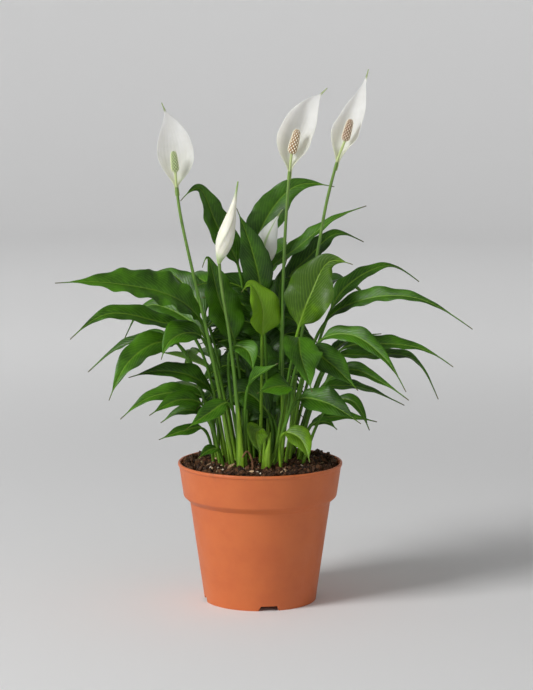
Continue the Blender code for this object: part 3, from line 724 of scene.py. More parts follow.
def scattered(name, finish, count, smallest, largest, shape, seed, tones, sunk=0.3, upright=False,
              nearest=0.0, heap=0.0):
    """Many lumps as one mesh. Each has a size drawn between two limits, mostly near the smaller,
    times a shape of three shares; each point is moved in by up to a third or out by up to a fifth;
    the lump is turned by chance and sunk by a share of its size into the soil where it lands.
    nearest is the share of the soil in the middle that stays clear, and heap piles up to that height."""
    rng = np.random.default_rng(seed)
    far = (soil_radius - 0.0025) * np.sqrt(rng.uniform(nearest, 1, count))
    turn = rng.uniform(0, 2 * np.pi, count)
    x, y = far * np.cos(turn), far * np.sin(turn)
    size = smallest + (largest - smallest) * rng.uniform(0, 1, count) ** 2.2
    body = LUMP_POINTS * rng.uniform(0.67, 1.2, (count, len(LUMP_POINTS), 1))
    body = body * (size[:, None] * np.array(shape) / 2)[:, None]
    body = np.einsum("nij,nkj->nki", turns(rng, count, upright), body)
    z = soil_height(x, y, soil_radius) + size * min(shape) * (0.5 - sunk) + heap * rng.uniform(0, 1, count)
    places = (body + np.stack([x, y, z], axis=1)[:, None]).reshape(-1, 3)
    faces = LUMP_FACES + len(LUMP_POINTS) * np.arange(count)[:, None, None]
    data = bpy.data.meshes.new(name)
    data.from_pydata(places, [], faces.reshape(-1, 3).tolist())
    tone = np.repeat(rng.uniform(*tones, count), len(LUMP_POINTS))
    stored = np.stack([tone, 0 * tone, 0 * tone], axis=1)
    data.attributes.new("crumb", "FLOAT_VECTOR", "POINT").data.foreach_set("vector", stored.ravel())
    finished(name, data, finish, sharp=35)
    print(f"{name}: {count} pieces, {1000 * smallest:.1f} to {1000 * largest:.1f} mm")


scattered("peat_crumbs", peat_finish, 1700, 0.0014, 0.0058, (1, 0.85, 0.75), 11, (-0.2, 0.7))
scattered("peat_clods", peat_finish, 80, 0.0045, 0.0090, (1, 0.8, 0.7), 12, (-0.2, 0.3))
scattered("perlite_grains", perlite_finish, 110, 0.0014, 0.0050, (1, 0.7, 0.55), 13, (-0.3, 0.4))
scattered("pale_flakes", flake_finish, 90, 0.0045, 0.0110, (1, 0.34, 0.22), 16, (-0.1, 0.4), sunk=0.0)
scattered("bark_pieces", bark_finish, 230, 0.003, 0.0090, (1, 0.45, 0.25), 14, (-0.3, 0.5), upright=True)
scattered("heaped_edge", peat_finish, 420, 0.0022, 0.0078, (1, 0.85, 0.75), 17, (-0.2, 0.4),
          nearest=0.80, heap=0.0038)

# %% [markdown]
# ## Where the leaves go
#
# A peace lily's leaves all rise from the crown at the soil. Each has a round stalk, which bends
# outwards near its top, and a lance-shaped blade that arches over and ends in a long thin point.
# So one leaf is described by very little: where its stalk starts, three or four points its midrib
# passes, how wide the blade is, and how far it rolls onto its side and twists.

# %% The leaves' routes
# Each leaf: where its stalk leaves the crown (x, y), the points its midrib passes with heights above
# the soil, the blade's width, and its roll and twist in degrees.
LEAVES = {
    "left_long": ((-0.022, -0.010),
        [(-0.058, -0.016, 0.140), (-0.085, -0.037, 0.172), (-0.150, -0.060, 0.190), (-0.204, -0.070, 0.191)],
        0.044, 42, 0),
    "left_far": ((-0.022, 0.020),
        [(-0.056, 0.024, 0.144), (-0.077, 0.044, 0.174), (-0.097, 0.063, 0.188), (-0.117, 0.080, 0.185)],
        0.030, 40, 0),
    "left_twisted": ((-0.032, -0.009),
        [(-0.072, -0.007, 0.134), (-0.102, -0.010, 0.144), (-0.155, -0.021, 0.154), (-0.193, -0.030, 0.129)],
        0.024, 40, 30),
    "left_arched": ((-0.024, 0.004),
        [(-0.056, 0.008, 0.124), (-0.077, 0.025, 0.144), (-0.118, 0.049, 0.154), (-0.144, 0.060, 0.116)],
        0.028, 45, -20),
    "left_whip": ((-0.037, 0.017),
        [(-0.092, 0.029, 0.123), (-0.119, 0.039, 0.121), (-0.151, 0.045, 0.109), (-0.181, 0.048, 0.084)],
        0.024, 25, 0),
    "left_drooping": ((-0.039, -0.008),
        [(-0.082, -0.012, 0.120), (-0.106, -0.028, 0.125), (-0.133, -0.046, 0.108), (-0.152, -0.060, 0.071)],
        0.030, 45, 0),
    "left_folded": ((-0.029, -0.022),
        [(-0.058, -0.029, 0.129), (-0.074, -0.040, 0.137), (-0.091, -0.053, 0.130), (-0.099, -0.062, 0.113)],
        0.030, 40, 0),
    "left_middle": ((-0.044, -0.002),
        [(-0.049, 0.0, 0.067), (-0.070, -0.018, 0.089), (-0.102, -0.033, 0.097), (-0.133, -0.045, 0.092)],
        0.027, 45, 0),
    "left_low": ((-0.046, 0.008),
        [(-0.056, 0.008, 0.060), (-0.079, 0.003, 0.069), (-0.114, -0.003, 0.065), (-0.144, -0.008, 0.043)],
        0.022, 40, 0),
    "left_low_front": ((-0.040, -0.016),
        [(-0.058, -0.016, 0.058), (-0.082, -0.031, 0.067), (-0.112, -0.050, 0.054)],
        0.020, 45, 0),
    "left_crossing": ((-0.022, -0.033),
        [(-0.032, -0.036, 0.064), (-0.053, -0.052, 0.056), (-0.074, -0.066, 0.043)],
        0.022, 45, 0),
    "left_lowest": ((-0.047, -0.010),
        [(-0.058, -0.015, 0.034), (-0.079, -0.026, 0.034), (-0.103, -0.038, 0.027)],
        0.015, 40, 0),
    "top_left": ((-0.008, 0.016),
        [(-0.022, 0.024, 0.196), (-0.044, 0.018, 0.240), (-0.063, 0.006, 0.280), (-0.081, -0.006, 0.268)],
        0.033, 66, 0),
    "top_right": ((-0.002, 0.028),
        [(-0.007, 0.035, 0.202), (0.009, 0.041, 0.251), (0.038, 0.044, 0.280), (0.077, 0.044, 0.279)],
        0.035, -66, 0),
    "centre_dark": ((0.009, -0.007),
        [(0.002, 0.003, 0.166), (-0.007, 0.004, 0.212), (-0.024, 0.002, 0.260)],
        0.034, 66, 0),
    "left_upright": ((-0.014, 0.002),
        [(-0.026, 0.003, 0.119), (-0.042, 0.0, 0.166), (-0.054, -0.004, 0.210), (-0.059, -0.008, 0.200)],
        0.042, 66, 0),
    "centre_bright": ((0.0, -0.014),
        [(0.002, -0.010, 0.128), (0.002, -0.014, 0.161), (-0.010, -0.016, 0.184), (-0.019, -0.020, 0.176)],
        0.042, 66, 0),
    "right_bright": ((0.016, -0.014),
        [(0.039, -0.018, 0.138), (0.052, -0.022, 0.175), (0.070, -0.020, 0.207), (0.094, -0.026, 0.205)],
        0.052, -70, 0),
    "right_narrow": ((0.010, 0.023),
        [(0.007, 0.025, 0.188), (0.039, 0.030, 0.217), (0.076, 0.034, 0.246), (0.110, 0.034, 0.260)],
        0.020, -30, 0),
    "right_back_dark": ((0.016, 0.034),
        [(0.023, 0.042, 0.171), (0.052, 0.054, 0.206), (0.080, 0.066, 0.228), (0.109, 0.072, 0.219)],
        0.028, -30, 0),
    "centre_behind": ((0.011, 0.003),
        [(0.022, 0.006, 0.129), (0.020, 0.012, 0.175), (0.028, 0.016, 0.208)],
        0.032, 0, 0),
    "right_upper": ((0.028, 0.015),
        [(0.072, 0.017, 0.151), (0.093, 0.033, 0.179), (0.134, 0.050, 0.196), (0.167, 0.062, 0.178)],
        0.027, -35, 0),
    "right_long": ((0.029, -0.001),
        [(0.064, -0.001, 0.139), (0.100, -0.014, 0.166), (0.157, -0.034, 0.172), (0.214, -0.050, 0.142)],
        0.027, -40, 0),
    "right_shaded": ((0.030, 0.026),
        [(0.073, 0.028, 0.104), (0.096, 0.047, 0.119), (0.128, 0.068, 0.122)],
        0.020, -15, 0),
    "right_folded": ((0.024, -0.022),
        [(0.059, -0.022, 0.124), (0.091, -0.038, 0.135), (0.125, -0.059, 0.114), (0.146, -0.075, 0.082)],
        0.024, -45, 0),
    "right_middle": ((0.036, 0.006),
        [(0.080, 0.005, 0.111), (0.118, 0.0, 0.120), (0.166, -0.006, 0.116), (0.198, -0.012, 0.098)],
        0.023, -40, 0),
    "right_drooping": ((0.041, 0.018),
        [(0.072, 0.019, 0.100), (0.110, 0.025, 0.105), (0.159, 0.035, 0.100), (0.187, 0.042, 0.056)],
        0.024, -30, 0),
    "right_low": ((0.037, -0.005),
        [(0.064, -0.006, 0.077), (0.092, -0.016, 0.096), (0.124, -0.029, 0.085), (0.151, -0.040, 0.068)],
        0.020, -40, 0),
    "right_low_dark": ((0.037, 0.013),
        [(0.060, 0.014, 0.068), (0.090, 0.030, 0.072), (0.117, 0.042, 0.065), (0.152, 0.052, 0.048)],
        0.020, -30, 0),
    "front_right_low": ((0.012, -0.034),
        [(0.038, -0.039, 0.067), (0.065, -0.058, 0.069), (0.101, -0.076, 0.050)],
        0.030, -50, 0),
    "front_right": ((0.020, -0.028),
        [(0.047, -0.030, 0.118), (0.071, -0.042, 0.106), (0.099, -0.054, 0.080)],
        0.032, -45, 0),
    "front_centre": ((0.012, -0.024),
        [(0.038, -0.030, 0.130), (0.041, -0.060, 0.116), (0.052, -0.088, 0.084)],
        0.042, 0, 0),
    "front_small": ((0.004, -0.037),
        [(0.032, -0.047, 0.080), (0.017, -0.058, 0.085), (-0.003, -0.070, 0.080)],
        0.026, 45, 0),
    "centre_droop": ((-0.016, -0.020),
        [(-0.029, -0.022, 0.119), (-0.013, -0.031, 0.118), (-0.007, -0.039, 0.096)],
        0.022, -20, 0),
    "shoot_left": ((0.002, -0.043),
        [(0.003, -0.048, 0.039), (-0.004, -0.060, 0.037), (0.001, -0.072, 0.017)],
        0.024, 30, 0),
    "shoot_right": ((0.022, -0.039),
        [(0.024, -0.047, 0.035), (0.040, -0.056, 0.032), (0.050, -0.068, 0.009)],
        0.024, -30, 0),
    "right_hook": ((0.040, -0.020),
        [(0.072, -0.021, 0.061), (0.093, -0.030, 0.066), (0.111, -0.045, 0.038)],
        0.014, -35, 0),
    "back_left": ((-0.014, 0.036),
        [(-0.038, 0.062, 0.150), (-0.070, 0.104, 0.178), (-0.098, 0.142, 0.150)],
        0.034, 10, 0),
    "back_centre": ((0.002, 0.040),
        [(0.006, 0.074, 0.176), (0.012, 0.122, 0.214), (0.016, 0.168, 0.196)],
        0.036, 0, 0),
    "back_right": ((0.020, 0.040),
        [(0.044, 0.066, 0.150), (0.082, 0.098, 0.176), (0.118, 0.128, 0.150)],
        0.034, -10, 0),
    "back_low_left": ((-0.030, 0.036),
        [(-0.044, 0.068, 0.088), (-0.066, 0.106, 0.098), (-0.086, 0.138, 0.072)],
        0.028, 0, 0),
    "back_low": ((-0.004, 0.046),
        [(-0.006, 0.078, 0.092), (-0.008, 0.120, 0.104), (-0.012, 0.160, 0.076)],
        0.030, 0, 0),
    "back_low_right": ((0.032, 0.034),
        [(0.048, 0.066, 0.084), (0.072, 0.104, 0.096), (0.098, 0.136, 0.066)],
        0.028, 0, 0),
}
print("leaves in the fixed model:", len(LEAVES))

# %% [markdown]
# The fixed model keeps to its larger leaves. A real clump also has small ones: shoots at the foot,
# and short leaves hidden deep in the shade. They are written the same way and made by the same
# function.

# %% The small leaves between them
SMALL_LEAVES = {
    "right_tiny": ((0.044, -0.009),
        [(0.052, -0.009, 0.036), (0.067, -0.012, 0.041), (0.079, -0.018, 0.034)],
        0.013, -35, 0),
    "left_sliver": ((-0.036, 0.026),
        [(-0.060, 0.032, 0.065), (-0.089, 0.046, 0.071), (-0.115, 0.058, 0.064)],
        0.022, -8, 0),
    "front_left": ((-0.014, -0.036),
        [(-0.012, -0.040, 0.082), (0.0, -0.054, 0.097), (0.018, -0.062, 0.109)],
        0.022, -45, 0),
    "right_lowest": ((0.042, 0.002),
        [(0.054, 0.002, 0.037), (0.085, 0.004, 0.044), (0.121, 0.006, 0.038)],
        0.015, -35, 0),
    "left_shaded": ((-0.026, 0.026),
        [(-0.050, 0.024, 0.088), (-0.073, 0.036, 0.099), (-0.105, 0.045, 0.106)],
        0.032, -25, 0),
    "soil_left": ((-0.036, -0.028),
        [(-0.043, -0.034, 0.016), (-0.052, -0.042, 0.017), (-0.063, -0.052, 0.010)],
        0.013, 40, 0),
    "left_short": ((-0.045, 0.016),
        [(-0.056, 0.014, 0.041), (-0.077, 0.020, 0.048), (-0.104, 0.024, 0.034)],
        0.020, 30, 0),
}
print("small leaves added:", len(SMALL_LEAVES))

# %% [markdown]
# Deep inside the clump nobody looks at the leaves one by one, but without them the plant would be
# see-through. Their routes follow a rule instead of a table. Each is a short leaf that starts near
# the middle, crosses it to one side or the other, and droops; a seeded random generator gives each
# its own height, reach and width, and gives the same clump every time.

# %% Leaves inside the clump
def inner_routes(count, seed):
    """Rows like those above: sides take turns, and the necks climb from low at the front to high at
    the back, so that the lower ones hide the stalks of the upper ones."""
    rng = np.random.default_rng(seed)
    rows = {}
    for k in range(count):
        side, climb = (-1, 1)[k % 2], (k + 0.5) / count
        x, y = -side * rng.uniform(-0.004, 0.022), rng.uniform(-0.012, 0.004) + 0.034 * climb
        height = 0.034 + 0.118 * climb + rng.uniform(-0.01, 0.01)
        reach, drop = rng.uniform(0.050, 0.072), rng.uniform(-0.004, 0.022)
        neck = (x + side * 0.004, y + 0.004, height)
        middle = (x + side * 0.55 * reach, y + rng.uniform(0.002, 0.010), height + 0.026)
        tip = (x + side * 1.05 * reach, y + rng.uniform(0.0, 0.014), height + 0.022 - drop)
        rows[f"inner_{k + 1}"] = ((0.6 * x, y), [neck, middle, tip], rng.uniform(0.026, 0.036),
                                  -side * rng.uniform(48, 68), 0)
    return rows


INNER_LEAVES = inner_routes(30, 5)
INNER_LEAVES.update({f"behind_{name}": row for name, row in inner_routes(16, 9).items()})
print("leaves inside the clump:", len(INNER_LEAVES))

# %% [markdown]
# ## The shape of a leaf
#
# The blade's half width follows a sine bulge: sin(pi (s / 0.94)^0.74)^1.3 along the blade's share s,
# which is widest before the middle. A smaller inner power and a larger outer one draw the tip out.
# What is left beyond the bulge is the drip tip, a thin tail that turns brown. Across, each half
# rises from the midrib and levels off towards its edge, so the leaf is a shallow V with rounded
# flanks.
#
# Four smaller shapes bring it to life:
#
# - the outline bulges and dips a little by chance, as on a leaf that has been nibbled and bent;
# - the edge waves up and down, more strongly the further from the midrib;
# - between the side veins the blade puffs up, so each vein lies in a groove;
# - the midrib is a groove above and a keel below, thick at the stalk and thin at the tip.
#
# The side veins leave the midrib at a sharp angle and bend towards the tip. Measured along the
# midrib, a point that lies at distance x along and y out belongs to the vein that started at
# x - 1.5 y - y^2 / w, where w is the blade's half width there. That number, divided by the veins'
# spacing, is the leaf's vein count: a whole number on each vein. The shape and the colour both use
# it, so they always agree.

# %% Leaf measures
ROOT_DEPTH = 0.014
STALK_RADIUS = 0.00140
STALK_FLARE = 1.3
STALK_RINGS = 18
RING_STEP = 0.0013
BULGE_END, BULGE_INNER, BULGE_OUTER = 0.94, 0.74, 1.3
DRAWN_INNER, DRAWN_OUTER = 0.12, 0.4
THREAD_HALF = 0.0007
BLADE_FOLD = math.tan(math.radians(16))
LEAF_EDGE = 0.00035
LEAF_THICKNESS = 0.0005
VEIN_SPACING = 0.0064
VEIN_SLANT = 1.5
VEIN_PUFF = 0.00050
EDGE_WAVE = 0.12
EDGE_JAG = 0.11
JAG_SIZE, SMALL_JAG_SIZE = 0.017, 0.0065
ACROSS_POINTS = 23

flat_share = np.linspace(-1, 1, ACROSS_POINTS)
RING = np.concatenate([flat_share, flat_share[-2:0:-1]])
UPPER = np.where(np.arange(len(RING)) < ACROSS_POINTS, 1.0, -1.0)
RING_ANGLE = np.pi / 2 * (1 - RING) * UPPER
OUT = np.sign(RING) * np.abs(RING) ** 1.2
print("a leaf's ring has", len(RING), "points")

# %% The leaf's line
def above_soil(points):
    return [(x, y, z + GROUND) for x, y, z in points]


def leaf_spine(root, route, roll, twist):
    """The stalk's line from below the soil to the neck, then the midrib from the neck to the tip.
    The sideways direction starts level and square to the leaf's heading, rolls up to its full roll
    by the neck, and twists about the midrib in step with the blade's share."""
    spans = curve_through([(*root, GROUND - ROOT_DEPTH), *above_soil(route)])
    blade_length = travelled(spans[1:].reshape(-1, 3))[-1]
    steps = int(np.clip(blade_length / RING_STEP, 40, 132))
    climb, run = np.arange(STALK_RINGS) / STALK_RINGS, np.linspace(0, 1, steps)
    line = np.concatenate([along(spans[0], climb), along(spans[1:], run)])
    rise = np.concatenate([climb, np.ones(steps)])
    share = np.concatenate([np.zeros(STALK_RINGS), run])
    heading = unit(np.array([route[-1][0] - root[0], route[-1][1] - root[1], 0.0]))
    sideways, upwards = across(line, np.array([-heading[1], heading[0], 0.0]))
    turn = np.radians(roll * rise + twist * (share - 0.4) * smooth(share, 0, 0.12))[:, None]
    sideways, upwards = (
        sideways * np.cos(turn) - upwards * np.sin(turn),
        upwards * np.cos(turn) + sideways * np.sin(turn),
    )
    return line, sideways, upwards, rise, share


longest = max(travelled(leaf_spine(*row[:2], *row[3:])[0])[-1] for row in LEAVES.values())
print("the longest leaf runs", round(1000 * float(longest)), "mm from its foot to its tip")

# %% The leaf's section
def vein_count(length, out, half):
    """How many veins lie between the neck and this point: see the text above."""
    return (length - VEIN_SLANT * np.abs(out) - np.abs(out) ** 2 / np.maximum(half, 0.001)) / VEIN_SPACING


def blade_half(share, width, drawn):
    """The half width: the bulge of the text above, or the drip tip's thread where that is wider."""
    inner, outer = BULGE_INNER - DRAWN_INNER * drawn, BULGE_OUTER + DRAWN_OUTER * drawn
    bulge = width / 2 * np.sin(np.pi * np.clip(share / BULGE_END, 0, 1) ** inner) ** outer
    return np.maximum(bulge, LEAF_EDGE + THREAD_HALF * np.clip(1 - share, 0, 1) ** 0.5 * (share > 0))


def leaf_section(line, rise, share, width, drawn, seed):
    """Each ring's u (sideways), v (upwards) and vein marks: a circle on the stalk, the blade's
    section on the blade, and a smooth mix of both over the first eighth of the blade."""
    rng = np.random.default_rng(seed)
    length = (travelled(line) - travelled(line)[np.argmax(share > 0) - 1])[:, None]
    half = blade_half(share, width, drawn)[:, None]
    s, side = share[:, None], np.where(RING < 0, 0, 1)
    jag = 1 + EDGE_JAG * lattice_noise(length, 9.0 * side + seed, JAG_SIZE, 21)
    half = half * (jag + 0.4 * EDGE_JAG * lattice_noise(length, 9.0 * side + seed, SMALL_JAG_SIZE, 22))
    shift, beat = rng.uniform(0, 1, 2)[side], rng.uniform(0.024, 0.036, 2)[side]
    phase = rng.uniform(0, 2 * np.pi, 2)[side]
    count = vein_count(length, half * OUT, half) + shift
    puff = np.abs(np.sin(np.pi * count)) ** 0.7 * VEIN_PUFF * min(1, width / 0.03)
    puff = puff * smooth(np.abs(OUT), 0.04, 0.25) * (1 - OUT**8) * smooth(s, 0.02, 0.12) * (1 - s**3)
    wave = EDGE_WAVE * half * np.abs(OUT) ** 2.4 * np.sin(2 * np.pi * length / beat + phase)
    rise_out = half * BLADE_FOLD * np.abs(OUT) * (1.5 - 0.5 * OUT**2)
    keel = STALK_RADIUS * 0.8 * (1 - s) ** 0.6 + 0.0003
    rib = np.exp(-((half * OUT / (0.8 * keel)) ** 2))
    blade_v = rise_out + wave * smooth(s, 0, 0.1) + puff
    blade_v = blade_v + np.where(UPPER > 0, LEAF_THICKNESS / 2 - 0.35 * keel * rib,
                                 -LEAF_THICKNESS / 2 - keel * rib) * (np.abs(RING) < 1)
    swelling = 1 + 0.22 * np.exp(-(((rise - 0.93) / 0.05) ** 2)) * (share == 0)
    radius = (STALK_RADIUS * (STALK_FLARE + (1 - STALK_FLARE) * rise) * swelling)[:, None]
    blade = smooth(s, 0, 0.13)
    u = radius * np.cos(RING_ANGLE) * (1 - blade) + half * OUT * blade
    v = radius * np.sin(RING_ANGLE) * (1 - blade) + blade_v * blade
    return u, v, in_order(count, np.abs(OUT), 1000 * half * np.abs(OUT))


def leaf_piece(name, root, route, width, roll, twist, drawn, finish, slot, tone_and_shade, seed, replaced=()):
    """One leaf. Its marks are: veins = vein count, share of the half width, millimetres from the
    midrib; spot = growth (0 to 1 up the stalk, 1 to 2 along the blade), upper or lower face, and a
    tone that is partly the leaf's own and partly painted light and shade, lighter when it is higher."""
    line, sideways, upwards, rise, share = leaf_spine(root, route, roll, twist)
    u, v, veins = leaf_section(line, rise, share, width, drawn, seed)
    points = carried(line, sideways, upwards, u, v)
    growth = np.where(share > 0, 1 + share, rise)[:, None]
    grown(name, points, finish, slot, replaced, sharp=70, veins=veins, spot=in_order(growth, UPPER, tone_and_shade))


halfway = 2000 * float(blade_half(np.array([0.5]), 0.03, 0)[0])
print("half way along, a 30 mm leaf is", round(halfway, 1), "mm wide")

# %% [markdown]
# ## Leaf green
#
# A peace lily's leaf is a deep, glossy green. Light picks out four things on it: the pale midrib,
# the sunken side veins, a slightly lighter and duller underside, and the stalk, which turns a
# light yellow-green towards its foot. Young leaves are brighter and yellower all over.
#
# The vein count stored on the mesh gives the veins' colour: its sine passes through zero on each
# vein. Very fine noise breaks up the gloss, as the real cuticle does.

# %% Leaf and stalk finish
def leaf_finish(name, dark, light, underside, rib_colour, vein_colour, stalk_foot, stalk_top):
    material, tree, shader = new_finish(name)
    place = own_place(tree)
    count, out, from_rib = mark(tree, "veins")
    growth, face, tone_and_shade = mark(tree, "spot")
    patches = cloud(tree, place, 38, 4.0, 0.6)
    # The tone mark shifts each leaf's green: partly the leaf's own tone, partly painted light and shade.
    colour = blend(tree, stretch(tree, calc(tree, "ADD", patches, tone_and_shade), 0.30, 0.75), dark, light)
    vein = calc(tree, "ABSOLUTE", calc(tree, "SINE", calc(tree, "MULTIPLY", count, math.pi)))
    near_vein = stretch(tree, vein, 0.0, 0.34, 1.0, 0.0)
    fades = calc(tree, "MULTIPLY", near_vein, stretch(tree, out, 0.55, 1.0, 0.5, 0.08))
    colour = blend(tree, fades, colour, vein_colour)
    lower = stretch(tree, face, -0.1, 0.1, 1.0, 0.0)
    colour = blend(tree, calc(tree, "MULTIPLY", lower, 0.6), colour, underside)
    rib_width = stretch(tree, growth, 1.0, 1.95, 1.5, 0.5)
    on_rib = stretch(tree, calc(tree, "DIVIDE", from_rib, rib_width), 0.35, 1.0, 0.55, 0.0)
    colour = blend(tree, on_rib, colour, rib_colour)
    stalk = blend(tree, stretch(tree, growth, 0.0, 0.75), stalk_foot, stalk_top)
    streaks = cloud(tree, drawn_up(tree, place, 0.06), 500, 3.0, 0.6)
    stalk = blend(tree, stretch(tree, streaks, 0.35, 0.65, 0, 0.5), stalk, dark)
    on_stalk = stretch(tree, growth, 1.0, 1.10, 1.0, 0.0)
    colour = blend(tree, on_stalk, colour, stalk)
    colour = blend(tree, stretch(tree, growth, 1.925, 1.98, 0.0, 0.8), colour, rgb(92, 78, 48))
    gloss = stretch(tree, cloud(tree, place, 130, 4.0, 0.65), 0.3, 0.75, 0.34, 0.46)
    gloss = calc(tree, "ADD", gloss, calc(tree, "MULTIPLY", lower, 0.16))
    normal = raised(tree, cloud(tree, place, 900, 3.0, 0.6), 0.00016, 0.5)
    normal = raised(tree, stretch(tree, vein, 0.0, 0.5), 0.00022, 0.7, normal)
    feed(tree, shader, Base_Color=colour, Roughness=gloss, Normal=normal, Specular_IOR_Level=0.28)
    feed(tree, shader, Subsurface_Weight=0.05, Subsurface_Radius=(0.4, 0.8, 0.1), Subsurface_Scale=0.001)
    return material


STALK_FOOT = rgb(118, 158, 34)
STALK_TOP = rgb(78, 122, 24)
deep_leaf = leaf_finish("deep_leaf", rgb(34, 68, 6), rgb(72, 122, 16), rgb(92, 132, 36),
                        rgb(122, 158, 52), rgb(98, 144, 32), STALK_FOOT, STALK_TOP)
young_leaf = leaf_finish("young_leaf", rgb(56, 88, 8), rgb(112, 156, 24), rgb(108, 146, 36),
                         rgb(140, 174, 62), rgb(122, 160, 38), rgb(134, 174, 40), rgb(116, 160, 34))
print("leaf finishes:", deep_leaf.name, young_leaf.name)

# %% Growing the leaves
YOUNG_LEAVES = ("centre_bright", "right_bright", "shoot_left", "shoot_right")

# How much lighter or darker a leaf is than its finish: partly each leaf's own tone, and partly
# painted light and shade, darker for leaves that stand in shade. The rest are at 0, and the inner
# ones darker, as painted shade deep in the clump.
LEAF_TONE_AND_SHADE = dict(
    centre_bright=0.30, right_bright=-0.20, front_right_low=-0.12, top_left=0.03, centre_dark=-0.12,
    left_upright=0.03, left_long=0.05, front_centre=0.10, front_small=0.12, centre_droop=0.06,
    front_right=-0.04, right_folded=0.04, left_drooping=0.06, left_folded=0.03, left_far=-0.06,
    right_back_dark=-0.14, right_shaded=-0.14, left_shaded=-0.10, centre_behind=-0.16)
INNER_SHADE = -0.10

# Most leaves on the shaded side are slimmer, with longer tips: the share of the width in the table
# above, and how far the tip is drawn out, from 0 to 1.
SLIM_LEAVES = dict(
    right_upper=(0.78, 1), right_long=(0.84, 1), right_middle=(0.88, 0.8), right_drooping=(0.84, 0.6),
    right_folded=(0.86, 0.8), right_shaded=(0.9, 1), right_low=(0.9, 0.6), right_narrow=(1.1, 0.2),
    right_low_dark=(0.9, 0.8), left_arched=(0.9, 0.6), left_whip=(0.9, 0.8), left_far=(1.0, 0.5))

for number, (name, shape) in enumerate({**LEAVES, **SMALL_LEAVES, **INNER_LEAVES}.items()):
    young = name in YOUNG_LEAVES
    finish, slot = (young_leaf, "young_leaf") if young else (deep_leaf, "leaf")
    root, route, width, roll, twist = shape
    replaced = [f"leaf_{name}"] if name in LEAVES else []
    tone_and_shade = LEAF_TONE_AND_SHADE.get(name, INNER_SHADE if name in INNER_LEAVES else 0.0)
    slim, drawn = SLIM_LEAVES.get(name, (1, 0))
    leaf_piece(f"lily_leaf_{name}", root, route, width * slim, roll, twist, drawn, finish, slot, tone_and_shade,
               number, replaced)
grown_leaves = [piece for name, piece in made_pieces.items() if name.startswith("lily_leaf")]
print("leaves grown:", len(grown_leaves), "with", sum(len(p.data.polygons) for p in grown_leaves), "faces")

# %% [markdown]
# The youngest shoots rise from one bright, swollen sheath, the lower part of a stalk that still wraps
# the next leaf. It is a short round section that narrows upwards, flattened a little, with the ribs
# that every sheath shows. The bud's stem has one of its own.

# %% Sheaths at the soil
SHEATH_FLATNESS = 0.16
SHEATH_RIBS = 0.035
SHEATH_SIDES = 36
# Each sheath: the points of its path, and its radius from foot to top.
SHEATHS = {
    "shoot_sheath": ([(0.007, -0.0445, -0.010), (0.0072, -0.0445, 0.008), (0.0110, -0.043, 0.036)],
                     (0.0026, 0.0034, 0.0028, 0.0015, 0.0003)),
    "bud_sheath": ([(-0.0185, -0.0402, -0.010), (-0.0195, -0.0402, 0.015), (-0.0240, -0.0370, 0.071)],
                   (0.0022, 0.0027, 0.0023, 0.0019, 0.0013)),
}


def sheath_piece(name, route, radii):
    """Rings round a short path: radius times 1 + 0.16 cos(2 angle) flattens the circle, and
    0.035 cos(9 angle) ribs it. The growth mark stays under 0.35, the colour of a stalk's foot."""
    share = np.linspace(0, 1, 40)
    line = along(curve_through(above_soil(route)), share)
    angle = 2 * np.pi * np.arange(SHEATH_SIDES) / SHEATH_SIDES
    ribs = SHEATH_RIBS * np.cos(9 * angle + 3 * share[:, None])
    ring = 1 + SHEATH_FLATNESS * np.cos(2 * angle + 0.6) + ribs
    points = round_section(line, read_along(share, radii), ring, SHEATH_SIDES)
    grown(name, points, young_leaf, "young_leaf", veins=in_order(0.5, 1, 20),
          spot=in_order(0.35 * share[:, None], 1, 0))


for name, (route, radii) in SHEATHS.items():
    sheath_piece(name, route, radii)
print("sheaths:", len(SHEATHS))

# %% [markdown]
# ## Flower stems
#
# A flower stem is rounder and smoother than a leaf stalk, and most are taller than every leaf. It
# tapers a little, has faint lengthwise ribs, and is paler near the soil, where it was wrapped in a
# sheath. The section is a circle whose radius swells slightly under each rib.

